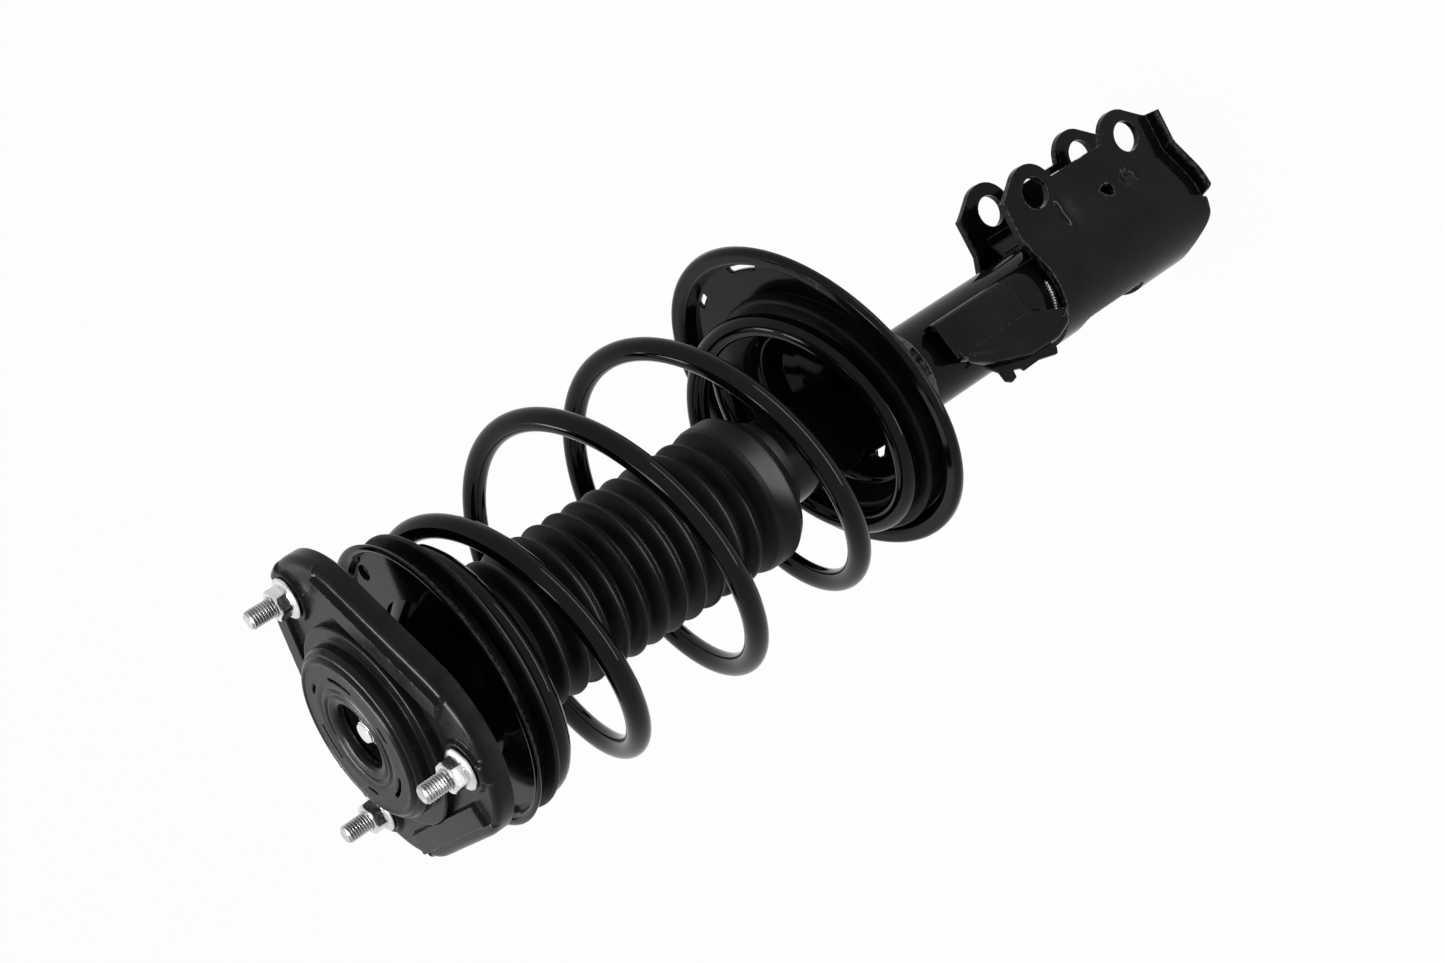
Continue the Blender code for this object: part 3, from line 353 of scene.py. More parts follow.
def makeGlossPaint(name, values):
    # black enamel: faint orange peel, cloudy dust that dulls it, and thin paint on outer edges
    made = Finish(name)
    clouds = made.noise(noiseScale["glossClouds"], 5)
    specks = made.spread(made.noise(noiseScale["glossSpecks"], 2), 0, 1, 0.64, 0.74)
    patches = made.spread(made.noise(noiseScale["glossPatches"], 4), 0.2, 1)
    dust = made.times(made.spread(clouds, 0, 1, 0.45, 0.75), patches)
    chips = made.spread(made.noise(noiseScale["glossWear"], 4), 0, 1, 0.42, 0.62)
    wear = made.times(made.edges(0.53, 0.62), chips)
    color = made.blend(dust, values["color"], values["dust"])
    color = made.blend(made.times(specks, dust), color, values["worn"])
    color = made.blend(wear, color, values["worn"])
    peel = made.noise(noiseScale["glossPeel"], 2, 0.4)
    made.feed(color=color, roughness=made.spread(clouds, *values["roughness"], 0.35, 0.75),
              normal=made.bump(peel, values["peel"]), specular=values["specular"])
    return made.material


satinPaint = {"color": (0.0090, 0.0087, 0.0085), "dust": (0.0190, 0.0178, 0.0170), "worn": (0.040, 0.036, 0.033),
              "roughness": (0.18, 0.30), "specular": 0.07, "grain": 0.000012}


def makeSatinPaint():
    # electrocoat over pressed steel: fine grain, brownish dust in clouds, rubbed edges
    values = satinPaint
    made = Finish("satinElectrocoat")
    clouds = made.noise(noiseScale["satinClouds"], 5)
    grain = made.noise(noiseScale["satinGrain"], 3)
    dust = made.spread(clouds, 0, 0.9, 0.42, 0.72)
    chips = made.spread(made.noise(noiseScale["satinWear"], 4), 0, 1, 0.40, 0.60)
    wear = made.times(made.edges(0.53, 0.60), chips)
    color = made.blend(dust, values["color"], values["dust"])
    color = made.blend(wear, color, values["worn"])
    sheen = made.noise(noiseScale["satinSheen"], 4)
    made.feed(color=color, roughness=made.spread(sheen, *values["roughness"], 0.3, 0.7),
              normal=made.bump(grain, values["grain"]), specular=values["specular"])
    return made.material


rubberLook = {"color": (0.0055, 0.0055, 0.0058), "bloom": (0.0125, 0.0125, 0.0130), "roughness": (0.36, 0.52),
              "grain": 0.00003, "specular": 0.09}


def makeRubber():
    # moulded rubber: greyish bloom in clouds over a fine mould grain
    values = rubberLook
    made = Finish("mouldedRubber")
    clouds = made.noise(noiseScale["rubberClouds"], 5)
    grain = made.noise(noiseScale["rubberGrain"], 3)
    color = made.blend(made.spread(clouds, 0, 1, 0.40, 0.75), values["color"], values["bloom"])
    made.feed(color=color, roughness=made.spread(clouds, *values["roughness"], 0.35, 0.7),
              normal=made.bump(grain, values["grain"]), specular=values["specular"])
    return made.material


# painted shade: the dark grey laid into grooves and thread roots of every metal
paintedGrooveShade = (0.10, 0.10, 0.10)


def makeMetal(name, light, dark, roughness, brush, stretch):
    # plated or ground metal: tiny scratches along one direction, cloudy tarnish, and painted shade that darkens the
    # grooves and thread roots
    made = Finish(name)
    clouds = made.noise(noiseScale["metalClouds"], 5)
    scratches = made.noise(noiseScale["metalScratches"], 3, stretch=stretch)
    color = made.blend(made.spread(clouds, 0, 1, 0.38, 0.72), light, dark)
    # painted shade: the colour darkens where the surface is hollow, as in thread roots and grooves
    color = made.blend(made.edges(0.48, 0.40), color, paintedGrooveShade)
    rough = made.spread(made.noise(noiseScale["metalSheen"], 4, stretch=stretch), *roughness, 0.3, 0.7)
    made.feed(color=color, roughness=rough, metal=1.0, normal=made.bump(scratches, brush))
    return made.material


foamLook = {"color": (0.45, 0.38, 0.17), "dark": (0.26, 0.21, 0.09), "roughness": (0.72, 0.88), "cells": 0.00025}


def makeFoam():
    # closed-cell foam: round cells with a thin skin
    values = foamLook
    made = Finish("cellularFoam")
    cells = made.node("ShaderNodeTexVoronoi")
    cells.inputs["Scale"].default_value = noiseScale["foamCells"]
    made.link(made.place, cells.inputs["Vector"])
    deep = made.spread(cells.outputs["Distance"], 1, 0, 0.0, 0.7)
    tint = made.spread(made.noise(noiseScale["foamTint"]), 0, 1, 0.35, 0.7)
    sheen = made.noise(noiseScale["foamSheen"])
    made.feed(color=made.blend(tint, values["color"], values["dark"]),
              roughness=made.spread(sheen, *values["roughness"], 0.3, 0.7),
              normal=made.bump(deep, values["cells"]))
    return made.material


enamel = makeGlossPaint("glossBlackEnamel", glossPaint)
wireEnamel = makeGlossPaint("glossBlackWire", wirePaint)
electrocoat = makeSatinPaint()
rubber = makeRubber()
foam = makeFoam()
zinc = makeMetal("brightZinc", (0.66, 0.67, 0.66), (0.48, 0.49, 0.49), (0.14, 0.28), 0.0000020, (1, 1, 5))
studZinc = makeMetal("dullZinc", (0.42, 0.42, 0.41), (0.27, 0.27, 0.265), (0.20, 0.34), 0.000003, (1, 1, 1))
bearingSteel = makeMetal("groundSteel", (0.70, 0.70, 0.71), (0.52, 0.52, 0.53), (0.14, 0.28), 0.000006, (1, 1, 6))
chrome = makeMetal("hardChrome", (0.82, 0.82, 0.84), (0.72, 0.72, 0.74), (0.05, 0.12), 0.000003, (1, 1, 8))
plainSteel = makeMetal("plainSteel", (0.46, 0.46, 0.47), (0.30, 0.30, 0.31), (0.32, 0.52), 0.000012, (1, 1, 5))
weldSteel = makeMetal("paintedWeld", (0.10, 0.10, 0.10), (0.03, 0.03, 0.03), (0.22, 0.40), 0.00004, (1, 1, 1))
print("finishes made")


# ---- upper mount

mountPlate = {"cornerRadius": 0.0895, "sideRadius": 0.071, "lobeAngle": 10, "low": -0.0030, "bottom": -0.0138,
              "rounding": 0.0040, "rimWidth": 0.0065, "skin": 0.0032, "landInner": 0.0540, "landOuter": 0.0645,
              "landHalf": 0.0455, "landRise": 0.0012, "padRadius": 0.0128, "padHeight": 0.0020,
              "hubTop": 0.0103, "hubRadius": 0.0462, "hubFoot": 0.0015, "footRadius": 0.0540,
              "discRadius": 0.0418, "discThickness": 0.0030, "cupRadius": 0.0405, "cupBottom": -0.0260,
              "bushingRadius": 0.0375, "bearingRadius": 0.0210, "steps": 720, "rows": 74}
studCircle = 0.073
studAngles = (14, 129.5, 249.5)
seatGap = 0.0003


def outlineRadius(angle, values):
    # hull of three equal circles: a circle's own edge near a stud, and the straight side between two of them
    reach = 2 * (values["cornerRadius"] - values["sideRadius"])
    lobe = values["cornerRadius"] - reach
    turned = np.degrees(angle) - values["lobeAngle"]
    off = np.radians(np.abs((turned + 60) % 120 - 60))
    circle = reach * np.cos(off) + np.sqrt(np.maximum(lobe ** 2 - (reach * np.sin(off)) ** 2, 0))
    side = values["sideRadius"] / np.cos(np.radians(60) - off)
    leave = math.atan2(lobe * math.sin(math.radians(60)), reach + lobe * math.cos(math.radians(60)))
    return np.where(off < leave, circle, side)


def plateHeight(x, y, values):
    # the pan's level plus three straight raised lands, each a smooth-sided rectangle, and a low pad round each stud
    height = np.full(x.shape, values["low"])
    rise = values["landRise"]
    for middle in (70, 190, 310):
        a = math.radians(middle)
        outwards = x * math.cos(a) + y * math.sin(a)
        along = np.abs(-x * math.sin(a) + y * math.cos(a))
        inside = (smoothStep((outwards - values["landInner"] + rise) / rise)
                  * smoothStep((values["landOuter"] + rise - outwards) / rise)
                  * smoothStep((values["landHalf"] + rise - along) / rise))
        height = np.maximum(height, values["low"] * (1 - inside))
    for angle in studAngles:
        studX, studY, _ = onCircle(studCircle, angle)
        away = np.hypot(x - studX, y - studY)
        pad = smoothStep((values["padRadius"] + 0.001 - away) / 0.001)
        height = np.maximum(height, values["low"] + values["padHeight"] * pad)
    return height


def makeMountPlate():
    # one closed surface: the section runs from the disc's recess over the hub and the pan to the rim,
    # then back under it and down round the bearing's cup; outer rows follow the rounded triangle
    v = mountPlate
    angle = np.linspace(0, 2 * np.pi, v["steps"], endpoint=False)
    edge = outlineRadius(angle, v)[None, :]
    recess = v["hubTop"] - v["discThickness"] - seatGap
    hub = roundedProfile([
        (v["discRadius"] + seatGap, recess, 0),
        (v["discRadius"] + seatGap, v["hubTop"] - 0.0004, 0.0003),
        (v["hubRadius"] - 0.0016, v["hubTop"] - 0.0010, 0.0008),
        (v["hubRadius"], v["hubTop"] - 0.0034, 0.0020),
        (v["hubRadius"], v["hubFoot"], 0.0012),
        (v["footRadius"] - 0.0002, v["hubFoot"], 0.0011),
        (v["footRadius"] + 0.0004, v["low"], 0),
    ], 7)
    hubRadius = np.repeat(hub[:, :1], v["steps"], axis=1)
    hubHeight = np.repeat(hub[:, 1:2], v["steps"], axis=1)
    share = np.linspace(0, 1, v["rows"])[1:, None]
    panRadius = v["footRadius"] + 0.0004 + share * (edge - v["rounding"] - v["footRadius"] - 0.0004)
    panHeight = plateHeight(panRadius * np.cos(angle), panRadius * np.sin(angle), v)
    turn = np.radians(np.linspace(0, 90, 9))[1:, None]
    ends = panHeight[-1:]
    rimRadius = edge - v["rounding"] + v["rounding"] * np.sin(turn)
    rimHeight = ends - v["rounding"] + v["rounding"] * np.cos(turn)
    floor = v["low"] - v["skin"]
    under = ((0, v["bottom"] + 0.0008), (0.0008, v["bottom"]), (v["rimWidth"] - 0.0005, v["bottom"]),
             (v["rimWidth"], v["bottom"] + 0.0005), (v["rimWidth"], floor - 0.0012), (v["rimWidth"] + 0.0012, floor))
    underRadius = np.stack([edge[0] - inset for inset, _ in under])
    underHeight = np.stack([np.full(v["steps"], height) for _, height in under])
    cup = roundedProfile([
        (v["footRadius"] + 0.001, floor, 0),
        (v["footRadius"] - 0.002, floor - 0.0005, 0.001),
        (v["cupRadius"], floor - 0.0040, 0.0015),
        (v["cupRadius"], v["cupBottom"] + 0.0010, 0.0028),
        (v["bearingRadius"] + 0.0040, v["cupBottom"], 0.0005),
        (v["bearingRadius"] + 0.0040, v["cupBottom"] + 0.0025, 0.0005),
        (v["bushingRadius"] + seatGap, v["cupBottom"] + 0.0025, 0.0003),
        (v["bushingRadius"] + seatGap, recess, 0.0003),
        (v["discRadius"] + seatGap, recess, 0),
    ], 5)
    cupRadius = np.repeat(cup[:-1, :1], v["steps"], axis=1)
    cupHeight = np.repeat(cup[:-1, 1:2], v["steps"], axis=1)
    radius = np.concatenate((hubRadius, panRadius, rimRadius, underRadius, cupRadius))
    height = np.concatenate((hubHeight, panHeight, rimHeight, underHeight, cupHeight))
    grid = aroundAxis(radius, angle, height)
    makePiece("mountPlate", [loopSurface(grid)], electrocoat,
              "top_mount", ["mount_plate"])


hubDisc = {"mouth": 0.0185, "mouthDepth": 0.0048, "bead": 0.0226, "lip": 0.0258, "slotCircle": 0.0325,
           "slotHalf": 0.0012, "longSweep": 30, "shortSweep": 11, "sheet": 0.0016, "steps": 720}


def slotHole(points, circle, middle, sweep, half):
    # distance to a curved slot's edge: the slot is every point within half its width of an arc
    angle = np.degrees(np.arctan2(points[:, 1], points[:, 0]))
    off = (angle - middle + 180) % 360 - 180
    nearest = np.radians(middle + np.clip(off, -sweep / 2, sweep / 2))
    arm = points[:, :2] - circle * np.stack((np.cos(nearest), np.sin(nearest)), axis=-1)
    length = np.linalg.norm(arm, axis=1)
    away = np.zeros_like(points)
    away[:, :2] = arm / (length[:, None] + 1e-12)
    return length - half, away


def makeHubDisc():
    # the retainer's section turned round the axis: a mouth with a double bead, a flat ring and a thin raised edge
    v, top = hubDisc, mountPlate["hubTop"]
    flat = np.linspace(v["slotCircle"] - 0.0026, v["slotCircle"] + 0.0026, 14)
    profile = np.vstack((
        roundedProfile([
            (v["mouth"], top - v["mouthDepth"], 0),
            (v["mouth"], top - 0.0016, 0.0012),
            (v["bead"] - 0.0010, top - 0.0008, 0.0016),
            (v["bead"] + 0.0006, top - 0.0017, 0.0008),
            (v["lip"] - 0.0012, top - 0.0004, 0.0010),
            (v["lip"] + 0.0008, top - 0.0012, 0.0008),
            (v["slotCircle"] - 0.0030, top - 0.0007, 0),
        ], 7),
        np.stack((flat, np.full(len(flat), top - 0.0007)), axis=-1),
        roundedProfile([
            (v["slotCircle"] + 0.0030, top - 0.0007, 0),
            (mountPlate["discRadius"] - 0.0020, top - 0.0006, 0.0012),
            (mountPlate["discRadius"] - 0.0010, top, 0.0006),
            (mountPlate["discRadius"] - 0.0002, top - 0.0007, 0.0004),
            (mountPlate["discRadius"] - 0.0001, top - 0.0013, 0),
        ], 4)))
    grid = revolve(profile, v["steps"])[:, ::-1]
    points, faces = surface(grid, wrapColumns=True)
    for i in range(3):
        for middle, sweep in ((90 + 120 * i, v["longSweep"]), (30 + 120 * i, v["shortSweep"])):
            cut = slotHole(points, v["slotCircle"], middle, sweep, v["slotHalf"])
            points, faces = punch(points, faces, *cut)
    makePiece("hubDisc", [(points, faces)], electrocoat, "top_mount", ["hub_disc"],
              closed=False, thickness=v["sheet"])


thread = {"pitch": 0.0015, "depth": 0.00090, "perTurn": 64, "perPitch": 12}


def threadedRod(low, top, radius, chamfer, values):
    # a helical V thread: the radius falls from crest to root and back once in each pitch, shifted by the angle
    count = int((top - low) / values["pitch"] * values["perPitch"])
    height = np.linspace(low, top, count)[:, None]
    angle = np.linspace(0, 2 * np.pi, values["perTurn"], endpoint=False)[None, :]
    phase = (height / values["pitch"] - angle / (2 * np.pi)) % 1
    cut = values["depth"] * smoothStep(1 - np.abs(phase - 0.5) * 2.4)
    limit = radius - chamfer + (top - height)
    return aroundAxis(np.minimum(radius - cut, limit), angle, height)


stud = {"radius": 0.0049, "tip": 0.0218, "chamfer": 0.0011, "headRadius": 0.0088, "headHeight": 0.0030}
flangeNut = {"acrossFlats": 0.0150, "flangeRadius": 0.0109, "base": -0.0007,
             "top": 0.0084, "bore": 0.0051, "steps": 144, "cornerRadius": 0.0083}


def hexRadius(angle, flats, corner):
    # distance to a hexagon's side, limited so that its corners are rounded off
    off = (np.degrees(angle) + 30) % 60 - 30
    return np.minimum(flats / 2 / np.cos(np.radians(off)), corner)


def makeStudsAndNuts():
    # three threaded studs with flat heads; each nut's rings run up from its flange over a cone to the hexagon,
    # whose top is cut by a chamfer, and back down the bore
    v, n = stud, flangeNut
    head = mountPlate["low"] - mountPlate["skin"] - seatGap
    angle = np.linspace(0, 2 * np.pi, n["steps"], endpoint=False)[None, :]
    hexagon = hexRadius(angle, n["acrossFlats"], n["cornerRadius"])
    for i, turned in enumerate(studAngles):
        place = onCircle(studCircle, turned)
        shank = threadedRod(head, v["tip"], v["radius"], v["chamfer"], thread) + place
        foot = revolve(roundedProfile([(0.0001, head, 0), (v["headRadius"], head, 0.0004),
                                       (v["headRadius"], head - v["headHeight"], 0.0006),
                                       (0.0001, head - v["headHeight"], 0)], 4), 48) + place
        makePiece(f"stud{i + 1}", [cappedSurface(shank), cappedSurface(foot)], studZinc,
                  "top_mount", [f"stud_{i + 1}"], sharp=45)
        base, top = n["base"], n["top"]
        rows = ((n["bore"] + 0.0006, base), (n["flangeRadius"] - 0.0004, base), (n["flangeRadius"], base + 0.0004),
                (n["flangeRadius"], base + 0.0011), (n["flangeRadius"] - 0.0003, base + 0.0015))
        radii = [np.full(angle.shape, radius) for radius, _ in rows]
        heights = [height for _, height in rows]
        for share in np.linspace(0, 1, 6):
            cone = n["flangeRadius"] - 0.0006 + share * (n["acrossFlats"] / 2 - n["flangeRadius"] + 0.0006)
            radii.append(np.maximum(np.full(angle.shape, cone), hexagon * min(1, 0.90 + share * 0.12)))
            heights.append(base + 0.0018 + share * 0.0011)
        for share in np.linspace(0.02, 1, 16):
            height = base + 0.0029 + share * (top - base - 0.0029)
            chamfer = n["acrossFlats"] / 2 - 0.0001 + (top - height) * 0.95
            radii.append(np.minimum(hexagon, chamfer))
            heights.append(height)
        for radius, height in ((0.0067, top), (n["bore"] + 0.0008, top), (n["bore"], top - 0.0007),
                               (n["bore"], base + 0.0006)):
            radii.append(np.full(angle.shape, radius))
            heights.append(height)
        swing = angle + math.radians(turned + 12)
        grid = aroundAxis(np.concatenate(radii), swing, np.array(heights)[:, None]) + place
        makePiece(f"flangeNut{i + 1}", [loopSurface(grid)],
                  zinc, "top_mount", [f"flange_nut_{i + 1}"], sharp=28)


makeMountPlate()
makeHubDisc()
makeStudsAndNuts()
print("upper mount made")


# ---- rod, upper seat and rubber

rod = {"radius": 0.010, "neck": 0.0060, "tip": 0.0071, "chamfer": 0.0010, "threadLow": -0.0200, "steps": 96}
rodNut = {"acrossFlats": 0.019, "height": 0.011, "low": -0.0082, "corner": 0.0105, "steps": 144}


def makeRod():
    # a threaded neck, its shoulder under the seat, and a ground shaft down to the piston
    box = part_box("piston_rod")
    low = box[0].z
    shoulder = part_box("upper_spring_seat")[1].z - 0.0028
    neck = threadedRod(rod["threadLow"], rod["tip"], rod["neck"], rod["chamfer"], thread)
    shaft = revolve(roundedProfile([
        (0.0001, rod["threadLow"] + 0.0005, 0),
        (rod["neck"] - 0.0003, rod["threadLow"] + 0.0005, 0.0001),
        (rod["neck"] - 0.0003, shoulder, 0.0002),
        (rod["radius"], shoulder, 0.0006),
        (rod["radius"], low + 0.030, 0.0006),
        (rod["neck"], low + 0.030, 0.0002),
        (rod["neck"], low, 0.0008),
        (0.0001, low, 0),
    ], 5), rod["steps"])
    makePiece("pistonRod", [cappedSurface(neck), cappedSurface(shaft)], chrome, "rod", ["piston_rod"],
              sharp=45)
    angle = np.linspace(0, 2 * np.pi, rodNut["steps"], endpoint=False)[None, :]
    hexagon = hexRadius(angle, rodNut["acrossFlats"], rodNut["corner"])
    low, top = rodNut["low"], rodNut["low"] + rodNut["height"]
    share = np.linspace(0, 1, 18)[:, None]
    height = low + share * (top - low)
    limit = rodNut["acrossFlats"] / 2 - 0.0001 + np.minimum(top - height, height - low + 0.0004) * 0.95
    wall = np.minimum(hexagon, limit)
    bore = np.full(angle.shape, rod["neck"] + 0.0002)
    radius = np.concatenate((bore, wall, bore + 0.0006, bore))
    height = np.concatenate((np.full((1, 1), low), height, np.full((1, 1), top), np.full((1, 1), top - 0.0006)))
    grid = aroundAxis(radius, angle, height)
    makePiece("rodNut", [loopSurface(grid)], zinc, "rod", ["rod_nut"], sharp=28)


upperSeat = {"radius": 0.0763, "rim": -0.0362, "floor": -0.0425, "sheet": 0.0025, "steps": 360, "holeRadius": 0.0043,
             "holeCircle": 0.0648, "holeAngle": 17}


def makeUpperSeat():
    # the dish's upper face turned round the axis, with three punched holes, thickened downwards
    v = upperSeat
    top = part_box("upper_spring_seat")[1].z
    floor, rim, radius = v["floor"], v["rim"], v["radius"]
    ring = np.linspace(0.0470, radius - 0.0068, 40)
    profile = np.vstack((
        roundedProfile([(0.0064, top, 0), (0.0240, top, 0.0030), (0.0440, floor, 0.0030), (0.0462, floor, 0)], 9),
        np.stack((ring, np.full(len(ring), floor)), axis=-1),
        roundedProfile([
            (radius - 0.0064, floor, 0),
            (radius - 0.0048, floor + 0.0003, 0.0025),
            (radius - 0.0026, rim - 0.0016, 0.0020),
            (radius - 0.0012, rim, 0.0008),
            (radius, rim - 0.0006, 0),
        ], 7)))
    points, faces = surface(revolve(profile, v["steps"])[:, ::-1], wrapColumns=True)
    for i in range(3):
        centre = onCircle(v["holeCircle"], v["holeAngle"] + 120 * i, floor)
        points, faces = punch(points, faces, *roundHole(points, centre, (0, 0, 1), v["holeRadius"]))
    makePiece("upperSpringSeat", [(points, faces)], enamel, "rod", ["upper_spring_seat"],
              closed=False, thickness=v["sheet"])


upperPad = {"inset": 0.0012, "brim": 0.0034, "spigot": 0.0516}


def makeUpperInsulator():
    # rubber ring turned from its section: a rounded brim under the seat and a spigot inside the first coil
    low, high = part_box("upper_insulator")
    radius, top, bottom = high.x - upperPad["inset"], high.z, low.z
    under = top - upperPad["brim"]
    spigot = upperPad["spigot"]
    profile = roundedProfile([
        (spigot - 0.0035, top, 0.0003),
        (radius - 0.0080, top, 0.0010),
        (radius - 0.0006, top - 0.0004, 0.0012),
        (radius, top - 0.0026, 0.0016),
        (radius - 0.0024, under - 0.0003, 0.0014),
        (spigot + 0.0006, under, 0.0012),
        (spigot, under - 0.0020, 0.0010),
        (spigot - 0.0012, bottom, 0.0008),
        (spigot - 0.0035, bottom, 0.0004),
    ], 6, closed=True)
    grid = revolve(profile[:-1], 256)
    makePiece("upperInsulator", [loopSurface(grid)], rubber, "rod",
              ["upper_insulator"])


boot = {"peak": 0.0412, "valley": 0.0344, "wall": 0.0016, "pitch": 0.0126, "folds": 13, "collar": 0.0425,
        "collarHeight": 0.021, "neck": 0.0258, "sag": -0.0035, "steps": 160, "perFold": 20}


def makeBoot():
    # bellows: the radius swings between valley and peak once per fold, with broad crests and narrow valleys;
    # the centre line sags sideways by a smooth step that grows down to the collar and returns at the neck
    v = boot
    low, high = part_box("dust_boot")
    top, bottom = high.z, low.z
    lip = high.x
    start = top - 0.008
    count = v["folds"] * v["perFold"]
    place = np.linspace(0, v["folds"], count)
    crest = (0.5 + 0.5 * np.cos(2 * np.pi * (place - 0.35))) ** 0.75
    bellows = np.stack((v["valley"] + (v["peak"] - v["valley"]) * crest, start - place * v["pitch"]), axis=-1)
    collarTop = start - v["folds"] * v["pitch"]
    collarLow = collarTop - v["collarHeight"]
    head = roundedProfile([
        (lip - 0.0030, top, 0),
        (lip - 0.0003, top, 0.0004),
        (lip - 0.0003, top - v["wall"], 0.0004),
        (bellows[0, 0] + 0.0015, top - 0.0030, 0.0015),
        (bellows[0, 0], start, 0),
    ], 4)
    tail = roundedProfile([
        (bellows[-1, 0], collarTop - 0.0002, 0),
        (v["collar"] - 0.0010, collarTop - 0.0040, 0.0030),
        (v["collar"], collarTop - 0.0075, 0.0030),
        (v["collar"], collarLow + 0.0020, 0.0030),
        (v["collar"] - 0.0040, collarLow - 0.0035, 0.0030),
        (v["neck"] + 0.0035, collarLow - 0.0070, 0.0015),
        (v["neck"] + 0.0018, bottom, 0.0008),
        (v["neck"], bottom, 0),
    ], 6)
    outer = np.vstack((head, bellows[1:], tail[1:]))
    inner = outer[::-1].copy()
    inner[:, 0] = np.maximum(inner[:, 0] - v["wall"], v["neck"])
    section = np.vstack((outer, inner[1:-1]))
    grid = revolve(section, v["steps"])
    height = grid[..., 2]
    drop = smoothStep((top - height) / (top - bottom - 0.010)) * smoothStep((height - bottom - 0.005) / 0.005)
    grid[..., 0] += v["sag"] * drop
    piece = makePiece("dustBoot", [loopSurface(grid)], rubber, "rod",
                      ["dust_boot"], sharp=60)
    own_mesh(piece)


bumpStop = {"radius": 0.0235, "length": 0.050, "rings": 3, "taper": 0.0015, "waist": 0.0045, "bore": 0.0104}


def makeBumpStop():
    # foam rings: the radius waves once per ring and shrinks a little from ring to ring to a tapered nose
    v = bumpStop
    low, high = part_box("bump_stop")
    share = np.linspace(0, 1, 90)
    rings = share * v["rings"]
    radius = v["radius"] - v["taper"] * rings - v["waist"] * (0.5 - 0.5 * np.cos(2 * np.pi * rings)) ** 2
    radius *= 1 - 0.28 * smoothStep((share - 0.86) / 0.14)
    outer = np.stack((radius, high.z - share * (high.z - low.z)), axis=-1)
    inner = np.array(((v["bore"], low.z), (v["bore"], high.z)))
    makePiece("bumpStop", [loopSurface(revolve(np.vstack((outer, inner)), 96))],
              foam, "rod", ["bump_stop"])


coil = {"wire": 0.0061, "turns": 5.175, "firstTurn": 0.08, "lastTurn": 4.9, "startAngle": 15.3, "topFlat": 0.744,
        "bottomFlat": 0.88, "radii": (0.0622, 0.0712, 0.0831, 0.0845, 0.0642, 0.0638),
        "centres": (-0.0027, 0.0078, 0.0061), "topHeight": -0.0565, "bottomHeight": -0.2919, "slope": 0.118,
        "pivot": 0.019, "topLift": 0.0014, "topTuck": 0.0022, "perTurn": 120, "sides": 40, "roundEnd": 0.0015,
        "meanRadius": 0.063}


def coilRadius(turns):
    # radii at equal steps of the nominal turns, joined by monotone cubics
    radii = np.array(coil["radii"])
    last = len(radii) - 1
    steps = np.diff(radii)
    before, after = steps[:-1], steps[1:]
    middle = np.where(before * after <= 0, 0, 2 * before * after / (before + after + 1e-15))
    slopes = np.concatenate((steps[:1], middle, steps[-1:]))
    place = np.clip(turns / coil["turns"], 0, 1) * last
    i = np.minimum(place.astype(int), last - 1)
    t = place - i
    return (radii[i] + steps[i] * t * t * (3 - 2 * t)
            + slopes[i] * t * (1 - t) ** 2 - slopes[i + 1] * t * t * (1 - t))


def coilDrop(turns):
    # 0 on the flat first turn, 1 on the flat last one, straight between with a short parabola at each end
    ease = 0.1
    start, end = coil["topFlat"], coil["turns"] - coil["bottomFlat"]
    t = np.clip((turns - start) / (end - start), 0, 1)
    low = t * t / (2 * ease)
    high = 1 - ease - (1 - t) ** 2 / (2 * ease)
    return np.where(t < ease, low, np.where(t > 1 - ease, high, t - ease / 2)) / (1 - ease)


def coilLine(turns):
    # centre line of the wire: a barrel-shaped helix whose centre wanders off the axis and whose last turn is tilted
    drop = coilDrop(turns)
    angle = np.radians(coil["startAngle"] - 360 * turns)
    radius = coilRadius(turns) - coil["topTuck"] * np.exp(-((turns - 0.38) / 0.22) ** 2)
    first, middle, last = coil["centres"]
    centre = first + (middle - first) * smoothStep(drop / 0.5) + (last - middle) * smoothStep((drop - 0.5) / 0.5)
    x = centre + radius * np.cos(angle)
    height = coil["topHeight"] + (coil["bottomHeight"] - coil["topHeight"]) * drop
    first = 1 - smoothStep((turns - 0.70) / 0.5)
    height = height + coil["topLift"] * first
    return np.stack((x, radius * np.sin(angle), height + coil["slope"] * drop * (x - coil["pivot"])), axis=-1)


def makeCoil():
    # a circle carried square to the centre line; at both ends its radius closes as a quarter circle
    first, last = coil["firstTurn"], coil["lastTurn"]
    share = np.linspace(0, 1, round((last - first) * coil["perTurn"]))
    nose = 1 - np.cos(np.radians(np.linspace(0, 90, 8)))
    length = 2 * np.pi * coil["meanRadius"]
    ends = nose * coil["roundEnd"] / length
    turns = np.unique(np.concatenate((first + ends, first + share * (last - first), last - ends)))
    line = coilLine(turns)
    near = np.minimum(turns - first, last - turns) * length
    closing = np.clip(near / coil["roundEnd"], 0, 1)
    radius = coil["wire"] * np.sqrt(np.clip(1 - (1 - closing) ** 2, 0, 1)) * 0.35 + coil["wire"] * 0.65
    angle = np.linspace(0, 2 * np.pi, coil["sides"], endpoint=False)
    grid = line[:, None] + radius[:, None, None] * sweepArms(line, (0, 0, 1.0), angle)
    piece = makePiece("coilSpring", [cappedSurface(grid)], wireEnamel, "rod",
                      ["coil_spring"], sharp=50)
    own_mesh(piece)


makeRod()
makeUpperSeat()
makeUpperInsulator()
makeBoot()
makeBumpStop()
makeCoil()
print("rod, rubber and coil made")


# ---- damper tube

tube = {"radius": 0.0255, "wall": 0.0022, "top": -0.236, "bottom": -0.589, "steps": 192}


